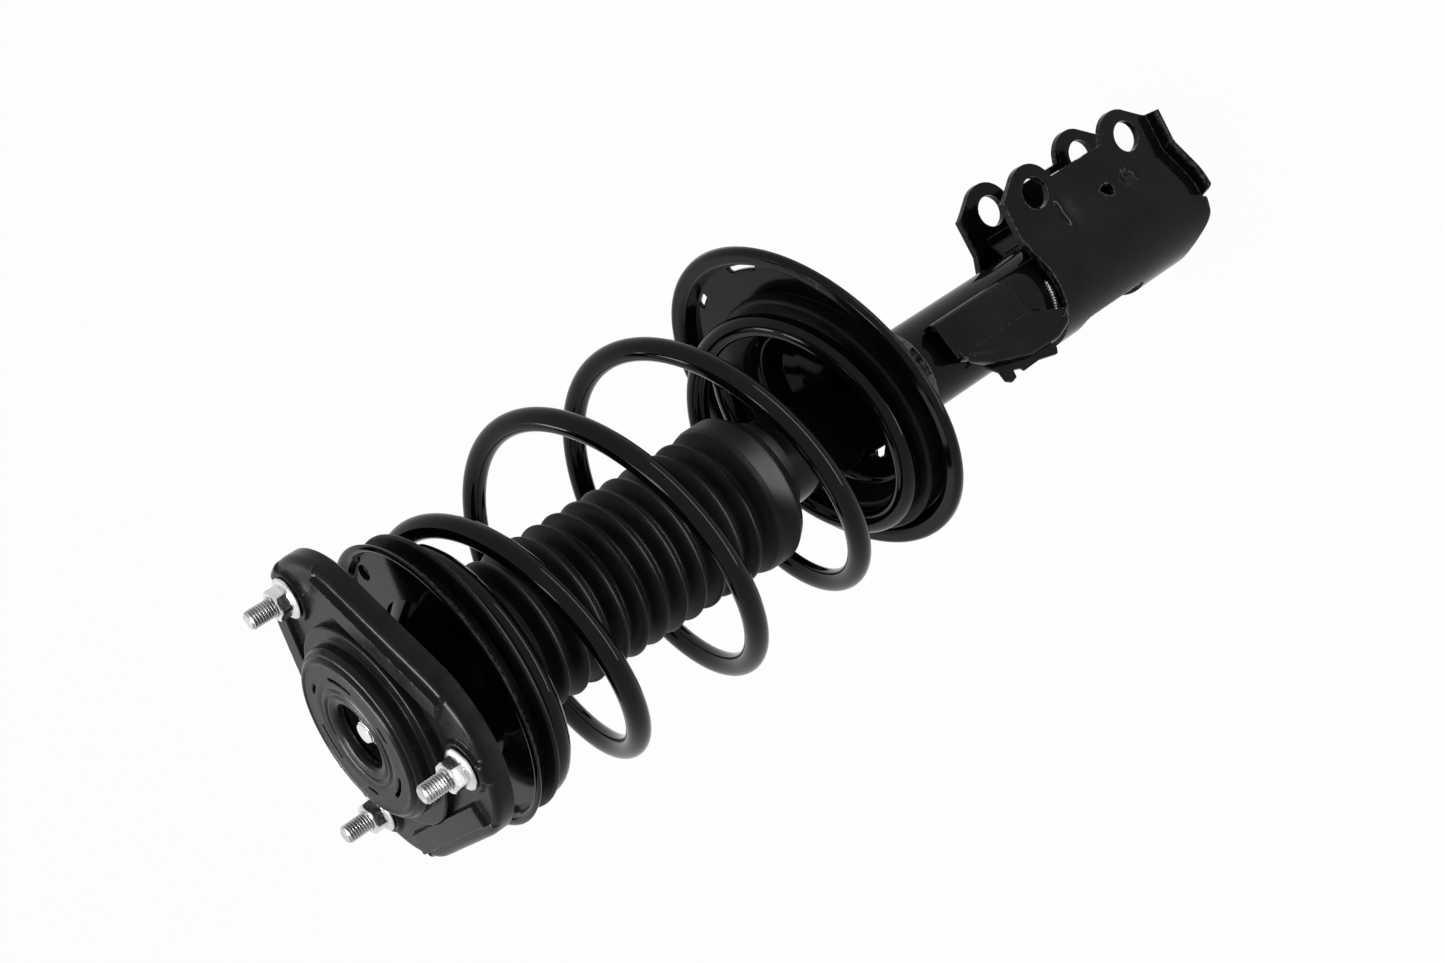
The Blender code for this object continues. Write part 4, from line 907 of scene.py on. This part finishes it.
def makeTube():
    # the tube turned round the axis, rolled in at its mouth and closed below by a dished cap
    v = tube
    profile = roundedProfile([
        (v["radius"] - 0.0045, v["top"], 0.0004),
        (v["radius"] - 0.0008, v["top"] - 0.0004, 0.0016),
        (v["radius"], v["top"] - 0.0030, 0.0030),
        (v["radius"], v["bottom"] + 0.0020, 0.0028),
        (v["radius"] - 0.0030, v["bottom"], 0.0010),
        (v["radius"] - 0.0045, v["bottom"], 0.0003),
        (v["radius"] - v["wall"], v["bottom"] + 0.0025, 0.0005),
        (v["radius"] - v["wall"], v["top"] - 0.0022, 0.0005),
        (v["radius"] - 0.0045, v["top"] - 0.0022, 0.0003),
    ], 6, closed=True)
    makePiece("damperTube", [loopSurface(revolve(profile[:-1], v["steps"]))],
              enamel, "housing", ["damper_tube"])
    cap = v["bottom"] + 0.0008
    inner = v["radius"] - v["wall"] - seatGap
    dish = roundedProfile([
        (0.0001, cap + 0.0040, 0),
        (0.0130, cap + 0.0036, 0.004),
        (inner - 0.0035, cap, 0.0015),
        (inner - 0.0024, cap + 0.0003, 0.0008),
        (inner, cap + 0.0027, 0.0005),
        (inner, cap + 0.0056, 0.0004),
        (0.0001, cap + 0.0056, 0),
    ], 6)
    makePiece("baseCap", [cappedSurface(revolve(dish, 128))], enamel, "housing",
              ["base_cap"])


# ---- lower spring seat

lowerSeat = {"offset": 0.0168, "height": -0.3003, "slope": 0.172, "rim": 0.0914, "lip": 0.0961, "sheet": 0.0026,
             "floorRadius": 0.0868, "floorDepth": 0.0085, "bowlMouth": 0.0500, "bowlDepth": 0.026,
             "collarBottom": -0.358, "collarHeight": 0.016, "collar": 0.0286, "steps": 720,
             "slots": ((-8.5, 14), (27.5, 6)), "slotCircle": 0.0825, "slotHalf": 0.0018,
             "drains": (55, 165, 285), "drainCircle": 0.0365, "drainRadius": 0.0042}


def seatRing(centre, radius, height, angle):
    # a circle in the seat's own tilted plane
    v = lowerSeat
    tilt = math.atan(v["slope"])
    x = centre + radius * np.cos(angle)
    y = radius * np.sin(angle)
    return np.stack((v["offset"] + x * math.cos(tilt) - height * math.sin(tilt), y,
                     v["height"] + x * math.sin(tilt) + height * math.cos(tilt)), axis=-1)


def makeLowerSeat():
    # rings from the collar on the tube up the bowl and out over the floor to the turned-over lip,
    # joined by straight walls whose corners are rounded column by column
    v = lowerSeat
    angle = np.linspace(0, 2 * np.pi, v["steps"], endpoint=False)
    shift = coil["centres"][2] - v["offset"]
    floor, bowl, mouth = -v["floorDepth"], -v["bowlDepth"], v["bowlMouth"]
    floorRings = [seatRing(shift * (1 - s), mouth + 0.0035 + s * (v["floorRadius"] - mouth - 0.0065), floor, angle)
                  for s in np.linspace(0, 1, 44)]
    inner = filletRows(np.stack([
        aroundAxis(v["collar"], angle, v["collarBottom"]),
        aroundAxis(v["collar"], angle, v["collarBottom"] + v["collarHeight"]),
        seatRing(shift, mouth - 0.0105, bowl, angle),
        seatRing(shift, mouth - 0.0045, bowl + 0.005, angle),
        seatRing(shift, mouth, floor, angle),
        floorRings[0],
    ]), [0, 0.006, 0.004, 0.004, 0.0025, 0], 7)
    outer = filletRows(np.stack([
        floorRings[-1],
        seatRing(0, v["floorRadius"] - 0.0002, floor, angle),
        seatRing(0, v["rim"] - 0.0012, -0.0002, angle),
        seatRing(0, v["lip"] - 0.0014, 0, angle),
        seatRing(0, v["lip"] - 0.0010, -0.0022, angle),
    ]), [0, 0.0022, 0.0012, 0.0007, 0], 7)
    grid = np.concatenate((inner, np.stack(floorRings[1:-1]), outer))
    points, faces = surface(grid[:, ::-1], wrapColumns=True)
    for middle, sweep in v["slots"]:
        local = points - (v["offset"], 0, 0)
        points, faces = punch(points, faces, *slotHole(local, v["slotCircle"], middle, sweep, v["slotHalf"]))
    for turned in v["drains"]:
        centre = onCircle(v["drainCircle"], turned) + (coil["centres"][2], 0, 0)
        points, faces = punch(points, faces, *roundHole(points, centre, (0, 0, 1), v["drainRadius"]))
    makePiece("lowerSpringSeat", [(points, faces)], enamel, "housing", ["lower_spring_seat"],
              closed=False, thickness=v["sheet"])


lowerPad = {"inner": 0.0545, "outer": 0.0745, "steps": 256}


def makeLowerInsulator():
    # rubber ring: its foot lies on the seat's floor and its top follows the plane of the last coil
    v, s = lowerPad, lowerSeat
    angle = np.linspace(0, 2 * np.pi, v["steps"], endpoint=False)
    low = -s["floorDepth"] + seatGap
    shift = coil["centres"][2] - s["offset"]
    wireLow = coil["bottomHeight"] - (coil["wire"] + seatGap) * math.sqrt(1 + coil["slope"] ** 2)

    def crown(radius, drop):
        x = coil["centres"][2] + radius * np.cos(angle)
        return np.stack((x, radius * np.sin(angle), wireLow - drop + coil["slope"] * (x - coil["pivot"])), axis=-1)

    foot = seatRing(shift, (v["inner"] + v["outer"]) / 2, low, angle)
    grid = filletRows(np.stack([
        foot, seatRing(shift, v["outer"], low, angle), crown(v["outer"] - 0.0008, 0.0002),
        crown(v["inner"] + 0.0006, 0), seatRing(shift, v["inner"], low, angle), foot,
    ]), [0, 0.0006, 0.0022, 0.0016, 0.0006, 0], 7)
    makePiece("lowerInsulator", [loopSurface(grid[:-1])], rubber, "housing",
              ["lower_insulator"])


# ---- knuckle clevis

clevis = {"sheet": 0.0040, "gap": 0.029, "near": -0.461, "far": -0.5935, "boltReach": 0.050,
          "boltHeights": (-0.486, -0.568), "boltRadius": 0.0093, "earRadius": 0.0175, "wrap": 65,
          "flange": 0.0115, "windowHeight": 0.057, "windowCentre": -0.507, "windowHalf": 0.0165,
          "smallRadius": 0.0044, "smallReach": 0.0284, "smallHeight": -0.5350, "dentReach": 0.0272,
          "dentHeight": -0.5570, "dentRadius": 0.0075, "dentStep": 0.0030, "dentDepth": 0.0020,
          "ridgeReach": 0.0312, "ridgeHeight": -0.4965, "ridgeStep": 0.0032, "ridgeRun": 0.014,
          "ridgeWidth": 0.0085, "backCut": 0.019, "backCutStart": -0.012, "backCutRun": 0.018,
          "flangeBend": 0.0040, "flangeStart": -0.0045, "flangeRun": 0.006, "thinnest": 0.002,
          "shoulderRounding": 0.007, "shoulderBend": 0.006, "windowCorner": 0.008, "valley": 0.0035,
          "touch": 0.61, "swell": 0.79, "fallOff": 0.03, "blend": 0.0012, "rows": 118, "columns": 420,
          "earColumns": 100}


def clevisSection(values):
    # outer face of the sheet seen along the strut: round the back of the tube, then in to two parallel ears
    radius = tube["radius"] + seatGap + values["sheet"]
    ear = values["gap"] / 2 + values["sheet"]
    wrap = math.radians(values["wrap"])
    leave = radius * np.array((math.cos(wrap), math.sin(wrap)))
    shoulder = np.array((leave[0] + (leave[1] - ear) / math.tan(math.pi / 2 - wrap), ear))
    arc = np.linspace(wrap, 2 * np.pi - wrap, 120)
    back = radius * np.stack((np.cos(arc), np.sin(arc)), axis=-1)
    return shoulder, back


def earReach(height, values):
    # how far the ears reach at each height: the smooth maximum of a straight valley and, round each bolt,
    # a circle sqrt(r^2 - dz^2) with a straight flank down to the ear's end
    ear, reach, valley = values["earRadius"], values["boltReach"], values["valley"]
    touch, swell = values["touch"] * ear, values["swell"] * ear
    top, low = values["boltHeights"]
    sides = [np.full(height.shape, reach + valley)]
    for bolt, end, outer in ((top, values["near"], 1), (low, values["far"], -1)):
        away = height - bolt
        circle = reach + np.sqrt(np.maximum(ear ** 2 - away ** 2, 0)) - values["fallOff"] * (np.abs(away) >= ear)
        flank = reach + swell + (outer * away - touch) / (abs(end - bolt) - touch) * (valley - swell)
        sides.append(np.where(outer * away > touch, np.minimum(flank, reach + ear), circle))
    total = sum(np.exp((side - reach) / values["blend"]) for side in sides)
    return reach + values["blend"] * np.log(total)


def makeClevis():
    # the section carried down the strut: each row's ears end where the side view says, the wrap's far corner
    # is cut back, a dent and a ridge are pressed into the near cheek, and the far edge turns out into a flange
    # along both ears
    v = clevis
    shoulder, back = clevisSection(v)
    fine = v["earRadius"] * np.sin(np.radians(np.linspace(-90, 90, 61)))
    height = np.linspace(v["near"], v["far"], v["rows"])
    for bolt in v["boltHeights"]:
        height = np.concatenate((height, bolt + fine))
    height = np.unique(np.round(height, 5))[::-1]
    tips = earReach(height, v)
    share = np.linspace(0, 1, v["earColumns"], endpoint=False)[None, :]
    startX = shoulder[0] + v["shoulderBend"]
    earX = tips[:, None] + (startX - tips[:, None]) * share
    corners = np.vstack(((startX, shoulder[1]), shoulder, back, shoulder * (1, -1), (startX, -shoulder[1])))
    rounding = v["shoulderRounding"]
    middle = filletRows(corners, [0, rounding] + [0] * len(back) + [rounding, 0], 8)
    middle = resample(middle, v["columns"] - 2 * v["earColumns"])
    midX = np.repeat(middle[None, :, 0], len(height), axis=0)
    midY = np.repeat(middle[None, :, 1], len(height), axis=0)
    x = np.concatenate((earX, midX, earX[:, ::-1]), axis=1)
    y = np.concatenate((np.full(earX.shape, shoulder[1]), midY, np.full(earX.shape, -shoulder[1])), axis=1)
    cut = v["backCut"] * smoothStep((v["backCutStart"] - x[-1]) / v["backCutRun"])
    fall = (height - v["near"])[:, None] / (v["far"] - v["near"])
    z = v["near"] + fall * (v["far"] + cut[None, :] - v["near"])
    outX = np.gradient(y, axis=1)
    outY = -np.gradient(x, axis=1)
    size = np.hypot(outX, outY) + 1e-12
    outX, outY = outX / size, outY / size
    cheek = (x > 0) * (y < 0)
    away = np.hypot(x - v["dentReach"], z - v["dentHeight"])
    crescent = smoothStep((v["dentRadius"] - away) / v["dentStep"]) * smoothStep((x - v["dentReach"] + 0.006) / 0.010)
    ridge = (smoothStep((v["ridgeHeight"] - z) / v["ridgeStep"])
             * (1 - smoothStep((v["ridgeHeight"] - 0.001 - z) / v["ridgeRun"]))
             * np.exp(-((x - v["ridgeReach"]) / v["ridgeWidth"]) ** 4))
    dent = v["dentDepth"] * (crescent - ridge) * cheek
    x = x - outX * dent
    y = y - outY * dent
    turn = np.radians(np.linspace(0, 90, 6))[1:]
    # the flange: a quarter bend, then a flat strip; where it fades out its slivers are left off
    width = v["flange"] * smoothStep((x[-1] - v["flangeStart"]) / v["flangeRun"])
    bendSize = np.minimum(v["flangeBend"], width)
    rows = [(bendSize * (1 - np.cos(t)), z[-1] - bendSize * np.sin(t) + bendSize) for t in turn]
    rows += [(bendSize + part * np.maximum(width - v["flangeBend"], 0), v["far"] + cut)
             for part in np.linspace(0, 1, 7)[1:]]
    z = v["near"] + fall * (v["far"] + cut[None, :] + bendSize[None, :] - v["near"])
    rowsX = [x[-1] + outX[-1] * swing for swing, _ in rows]
    rowsY = [y[-1] + outY[-1] * swing for swing, _ in rows]
    rowsZ = [level for _, level in rows]
    grid = np.stack((np.vstack((x, rowsX)), np.vstack((y, rowsY)), np.vstack((z, rowsZ))), axis=-1)
    points, faces = surface(grid[:, ::-1])
    thin = np.tile((width < v["thinnest"])[::-1], len(grid))
    beyond = np.arange(len(points)) >= len(height) * len(width)
    drop = (thin & beyond)[faces[0]].any(1)
    faces = [faces[0][~drop]]
    for bolt in v["boltHeights"]:
        centre = (v["boltReach"], 0, bolt)
        points, faces = punch(points, faces, *roundHole(points, centre, (0, 1, 0), v["boltRadius"]))
    centre = (v["smallReach"], 0, v["smallHeight"])
    points, faces = punch(points, faces, *roundHole(points, centre, (0, 1, 0), v["smallRadius"]))
    points, faces = punch(points, faces, *windowHole(points, v))
    makePiece("clevisBracket", [(points, faces)], enamel, "housing", ["clevis_bracket"],
              closed=False, thickness=v["sheet"], bevel=0.0005, even=False)


def windowHole(points, values):
    # distance to a rounded rectangle in the Y and Z directions, for points behind the axis only
    corner = values["windowCorner"]
    offset = np.stack((points[:, 1], points[:, 2] - values["windowCentre"]), axis=-1)
    half = np.array((values["windowHalf"], values["windowHeight"] / 2)) - corner
    beyond = np.abs(offset) - half
    outside = np.maximum(beyond, 0)
    length = np.linalg.norm(outside, axis=1)
    distance = length + np.minimum(beyond.max(1), 0) - corner
    inner = np.where((beyond[:, :1] > beyond[:, 1:]), (1.0, 0.0), (0.0, 1.0))
    away = np.where(length[:, None] > 0, outside / (length[:, None] + 1e-12), inner) * np.sign(offset)
    distance = np.where(points[:, 0] < 0, distance, 1.0)
    return distance, np.concatenate((np.zeros((len(points), 1)), away), axis=1)


web = {"sheet": 0.003, "near": -0.4705, "far": -0.584, "reach": 0.0375}


def makeWeb():
    # inner channel between the ears: its section carried straight down the strut
    v = web
    ear = clevis["gap"] / 2 - seatGap
    face = tube["radius"] + seatGap
    section = roundedProfile([(v["reach"], ear, 0), (face + 0.0065, ear, 0.004), (face, ear - 0.0065, 0.004),
                              (face, 0.0065 - ear, 0.004), (face + 0.0065, -ear, 0.004), (v["reach"], -ear, 0)], 6)
    section = resample(section, 90)
    height = np.linspace(v["near"], v["far"], 60)
    x = np.repeat(section[None, :, 0], 60, axis=0)
    y = np.repeat(section[None, :, 1], 60, axis=0)
    grid = np.stack((x, y, np.repeat(height[:, None], 90, axis=1)), axis=-1)
    makePiece("clevisWeb", [surface(grid[:, ::-1])], enamel, "housing", ["clevis_web"],
              closed=False, thickness=v["sheet"], bevel=0.0004)


makeTube()
makeLowerSeat()
makeLowerInsulator()
makeClevis()
makeWeb()
print("damper housing made")


# ---- hose bracket

hoseBracket = {"direction": -75, "sheet": 0.0022, "standOff": 0.0323, "near": -0.3725, "length": 0.054,
               "half": 0.0104, "wingFold": 16, "clipDepth": 0.0243, "lip": 0.0036,
               "wingEdge": ((0.0, -0.0020), (-0.0115, -0.0235), (-0.0190, -0.0480), (-0.0197, -0.0700),
                            (-0.0160, -0.0805), (-0.0100, -0.0825)),
               "wingRounding": (0, 0.014, 0.016, 0.010, 0.004, 0),
               "wingInner": ((0.0008, -0.0020), (0.0008, -0.0560), (-0.0100, -0.0820))}
# the clip's corners across and along the bracket, each with its rounding
clipCorners = (
    (-0.0220, -0.0180, 0), (-0.0295, -0.0250, 0.001), (-0.0355, -0.0250, 0.0015), (-0.0380, -0.0285, 0.0015),
    (-0.0370, -0.0325, 0.001), (-0.0325, -0.0335, 0.001), (-0.0345, -0.0390, 0.001), (-0.0365, -0.0400, 0.001),
    (-0.0362, -0.0530, 0.004), (-0.0392, -0.0655, 0.001), (-0.0355, -0.0680, 0.001), (-0.0325, -0.0650, 0.001),
    (-0.0310, -0.0780, 0.002), (-0.0240, -0.0850, 0.003), (-0.0180, -0.0800, 0.002), (-0.0265, -0.0560, 0.004),
    (-0.0220, -0.0180, 0))


def bracketPoint(across, along, outwards):
    # across, along the strut and outwards of the bracket as a point of the strut's frame
    a = math.radians(hoseBracket["direction"])
    out = np.array((math.cos(a), math.sin(a), 0))
    side = np.cross(np.array((0, 0, 1.0)), out)
    return (across[..., None] * side + outwards[..., None] * out + along[..., None] * np.array((0, 0, 1.0)))


def makeHoseBracket():
    # channel: a wall from the tube and a face, as a rounded section carried along the strut, cut square at its
    # near end and rounded at the far one; wing: a ruled sheet from the face's edge to a curved outer edge
    v = hoseBracket
    outer, half, near = v["standOff"], v["half"], v["near"]
    far = near - v["length"]
    foot = math.sqrt((tube["radius"] + seatGap) ** 2 - (half - v["sheet"]) ** 2)
    section = roundedProfile([(half, foot, 0), (half, outer, 0.0026), (-half - 0.0012, outer, 0)], 8)
    section = resample(section, 60)
    along = np.linspace(near, far, 70)
    across = np.repeat(section[None, :, 0], 70, axis=0)
    out = np.repeat(section[None, :, 1], 70, axis=0)
    longer = -0.004 * smoothStep((half - across) / 0.006)
    place = near + (along - near)[:, None] / (far - near) * (far + longer - near)
    channel = surface(bracketPoint(across, place, out))
    fold = math.radians(v["wingFold"])
    edge = resample(filletRows(v["wingEdge"], v["wingRounding"], 10), 70)
    inner = resample(np.array(v["wingInner"]), 70)
    share = np.linspace(0, 1, 26)[None, :, None]
    flat = inner[:, None] * (1 - share) + edge[:, None] * share
    curl = 0.0010 * smoothStep((share[..., 0] - 0.72) / 0.2) * np.ones((70, 1))
    across = -half + flat[..., 0] * math.cos(fold)
    along = near + flat[..., 1]
    out = outer - 0.0002 + flat[..., 0] * math.sin(fold) + curl
    turn = np.radians(np.linspace(0, 90, 7))[None, 1:]
    tall = v["lip"] * smoothStep(np.linspace(0, 5, 70))[:, None]
    across = np.hstack((across, across[:, -1:] - 0.0010 * np.sin(turn), across[:, -1:] - 0.0010 + 0 * turn[:, :2]))
    along = np.hstack((along, np.repeat(along[:, -1:], 8, axis=1)))
    fall = np.hstack((0.0010 * (1 - np.cos(turn)), np.array([[0.4, 1.0]])))
    fall = np.hstack((np.minimum(fall[:, :6], tall), tall * fall[:, 6:] + 0.0010 * (1 - fall[:, 6:])))
    out = np.hstack((out, out[:, -1:] - fall))
    wing = surface(bracketPoint(across, along, out))
    makePiece("hoseBracket", [channel, wing], enamel, "housing", ["hose_bracket"],
              closed=False, thickness=v["sheet"], bevel=0.0004)


def makeHoseClip():
    # flat plate with its outline filled on both sides, standing behind the wing
    v = hoseBracket
    near = v["near"]
    outline = roundedProfile(clipCorners, 4)[:-1]
    count = len(outline)
    depths = np.array((v["clipDepth"], v["clipDepth"] - v["sheet"]))
    grid = bracketPoint(np.repeat(outline[None, :, 0], 2, axis=0), near + np.repeat(outline[None, :, 1], 2, axis=0),
                        np.repeat(depths[:, None], count, axis=1))
    points, faces = surface(grid, wrapColumns=True)
    lids = [np.arange(count)[None, :], np.arange(count, 2 * count)[None, :]]
    makePiece("hoseClip", [(points, faces + lids)], enamel, "housing", ["hose_clip"], bevel=0.0003)


weld = {"radius": 0.0021, "ripple": 0.14, "spacing": 0.0016, "flat": 0.62}


def beadAlong(path, values):
    # a half-sunk rope of weld metal: a flattened circle carried along the path, its size rippling at equal steps
    count = max(3 * len(path), 80)
    outwards = resample(unit(path * (1, 1, 0)), count)
    path = resample(path, count)
    length = np.concatenate(([0], np.cumsum(np.linalg.norm(np.diff(path, axis=0), axis=1))))
    ends = np.sqrt(np.clip(np.minimum(length, length[-1] - length) / 0.003, 0, 1))
    wave = 1 + values["ripple"] * np.sin(2 * np.pi * length / values["spacing"])
    radius = values["radius"] * wave * (0.05 + 0.95 * ends)
    angle = np.linspace(0, 2 * np.pi, 20, endpoint=False)
    arms = sweepArms(path, outwards, angle, values["flat"])
    return cappedSurface(path[:, None] + radius[:, None, None] * arms)


def makeWelds():
    # beads where the seat's collar, the clevis and the bracket meet the tube
    radius = tube["radius"] + 0.0006
    turns = np.radians(np.linspace(0, 359, 220))
    collar = aroundAxis(radius, turns, lowerSeat["collarBottom"] - 0.0006)
    wrap = np.radians(np.linspace(78, 282, 160))
    near = aroundAxis(radius, wrap, clevis["near"] + 0.0006)
    v = hoseBracket
    along = np.linspace(v["near"] - 0.004, v["near"] - v["length"] + 0.008, 60)
    foot = math.sqrt((tube["radius"] + 0.0004) ** 2 - v["half"] ** 2)
    wall = bracketPoint(np.full(60, v["half"] + 0.0004), along, np.full(60, foot))
    beads = [beadAlong(path, weld) for path in (collar, near, wall)]
    makePiece("weldBeads", beads, weldSteel, "housing", [], sharp=80)


makeHoseBracket()
makeHoseClip()
makeWelds()
print("hose bracket and welds made")


# ---- finishes of the nodes that stay

kept = {"mount_bushing": (rubber, "rubber"), "bearing_outer_race": (bearingSteel, "bright_steel"),
        "bearing_inner_race": (bearingSteel, "bright_steel"), "bearing_cage": (bearingSteel, "bright_steel"),
        "piston": (plainSteel, "plain_steel"), "piston_nut": (plainSteel, "plain_steel"),
        "rebound_stop": (rubber, "rubber"), "tube_cap": (plainSteel, "plain_steel"), "rod_seal": (rubber, "rubber"),
        "rod_guide": (plainSteel, "plain_steel"), "inner_cylinder": (plainSteel, "plain_steel"),
        "base_valve": (plainSteel, "plain_steel")}
for node, (finish, slotName) in kept.items():
    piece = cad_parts[node]
    piece.data.materials.clear()
    piece.data.materials.append(finish)


# ---- floor, light and camera

studio = {"floor": 6.0, "drop": 0.0005, "whiteShare": 0.97, "ambient": 0.45}
lamps = {
    "overhead": {"place": (0.03, 0.20, 0.86), "target": (0, 0, -0.15), "width": 0.15, "height": 1.1, "power": 6,
                 "shine": 45},
    "low": {"place": (0.02, -0.64, -0.52), "target": (0, 0, -0.25), "width": 1.1, "height": 0.08, "power": 3,
            "shine": 26},
}


def makeFloor():
    # one large square just under the lowest solid; rays from the camera and from gloss see it white
    half = studio["floor"]
    low = cadBox[0].z - studio["drop"]
    side = np.linspace(-half, half, 3)
    x, y = np.meshgrid(side, side, indexing="ij")
    points, faces = surface(np.stack((x, y, np.full(x.shape, low)), axis=-1))
    mesh = bpy.data.meshes.new("floor")
    mesh.from_pydata(points.tolist(), [], faces[0].tolist())
    floor = bpy.data.objects.new("floor", mesh)
    bpy.context.scene.collection.objects.link(floor)
    made = Finish("paleFloor")
    made.feed(color=(0.86, 0.86, 0.86), roughness=0.9, specular=0.0)
    glow = made.node("ShaderNodeEmission")
    glow.inputs["Color"].default_value = (1, 1, 1, 1)
    glow.inputs["Strength"].default_value = 1.0
    seen = whiteRays(made.tree)
    mixed = made.node("ShaderNodeMixShader")
    output = made.tree.nodes["Material Output"]
    made.link(made.spread(seen, 0, studio["whiteShare"]), mixed.inputs[0])
    made.link(made.shader.outputs[0], mixed.inputs[1])
    made.link(glow.outputs[0], mixed.inputs[2])
    made.link(mixed.outputs[0], output.inputs["Surface"])
    mesh.materials.append(made.material)


def whiteRays(tree):
    # 1 for camera, glossy and transmission rays, 0 for the rest
    rays = tree.nodes.new("ShaderNodeLightPath")
    seen = rays.outputs["Is Camera Ray"]
    for kind in ("Is Glossy Ray", "Is Transmission Ray"):
        either = tree.nodes.new("ShaderNodeMath")
        either.operation = "MAXIMUM"
        tree.links.new(seen, either.inputs[0])
        tree.links.new(rays.outputs[kind], either.inputs[1])
        seen = either.outputs[0]
    return seen


def makeWorld():
    # plain pale surroundings: white where the camera or gloss sees them, softer as light
    world = bpy.data.worlds.new("studio")
    world.use_nodes = True
    bpy.context.scene.world = world
    tree = world.node_tree
    background = tree.nodes["Background"]
    seen = whiteRays(tree)
    strength = tree.nodes.new("ShaderNodeMapRange")
    strength.inputs["To Min"].default_value = studio["ambient"]
    strength.inputs["To Max"].default_value = 1.0
    tree.links.new(seen, strength.inputs["Value"])
    background.inputs["Color"].default_value = (1, 1, 1, 1)
    tree.links.new(strength.outputs["Result"], background.inputs["Strength"])


def makeLight(name, values):
    # a rectangular lamp aimed at a target; a second one in its place adds only the bright lines that gloss shows
    for kind, energy in (("", values["power"]), ("Shine", values["shine"])):
        lamp = bpy.data.lights.new(name + kind, "AREA")
        lamp.shape = "RECTANGLE"
        lamp.size = values["width"]
        lamp.size_y = values["height"]
        lamp.energy = energy
        holder = bpy.data.objects.new(name + kind, lamp)
        bpy.context.scene.collection.objects.link(holder)
        aim = np.array(values["target"], float) - np.array(values["place"], float)
        holder.location = values["place"]
        holder.rotation_mode = "QUATERNION"
        holder.rotation_quaternion = Vector(aim).to_track_quat("-Z", "Y")
        holder.visible_diffuse = not kind


# the camera's own directions and place; focal and frameWidth share one unit, and sensor is in millimetres
viewpoint = {"right": (-0.4745910398, -0.5023822129, -0.7227554615),
             "up": (0.8691201683, -0.1375512488, -0.4750892410),
             "back": (0.1392604679, -0.8536344453, 0.5019111036),
             "place": (0.1615744, -0.9507132, 0.3312471),
             "focal": 2147.9093, "frameWidth": 1445, "sensor": 36.0}


def makeCamera():
    camera = bpy.data.cameras.new("view")
    camera.sensor_width = viewpoint["sensor"]
    camera.sensor_fit = "HORIZONTAL"
    camera.lens = viewpoint["focal"] / viewpoint["frameWidth"] * viewpoint["sensor"]
    camera.clip_start = 0.01
    camera.clip_end = 30
    holder = bpy.data.objects.new("view", camera)
    bpy.context.scene.collection.objects.link(holder)
    matrix = np.eye(4)
    for column, key in enumerate(("right", "up", "back", "place")):
        matrix[:3, column] = viewpoint[key]
    holder.matrix_world = Matrix(matrix.tolist())
    bpy.context.scene.camera = holder


makeFloor()
makeWorld()
for name, values in lamps.items():
    makeLight(name, values)
makeCamera()
bpy.context.scene.view_settings.view_transform = "Standard"
print("floor, light and camera made")
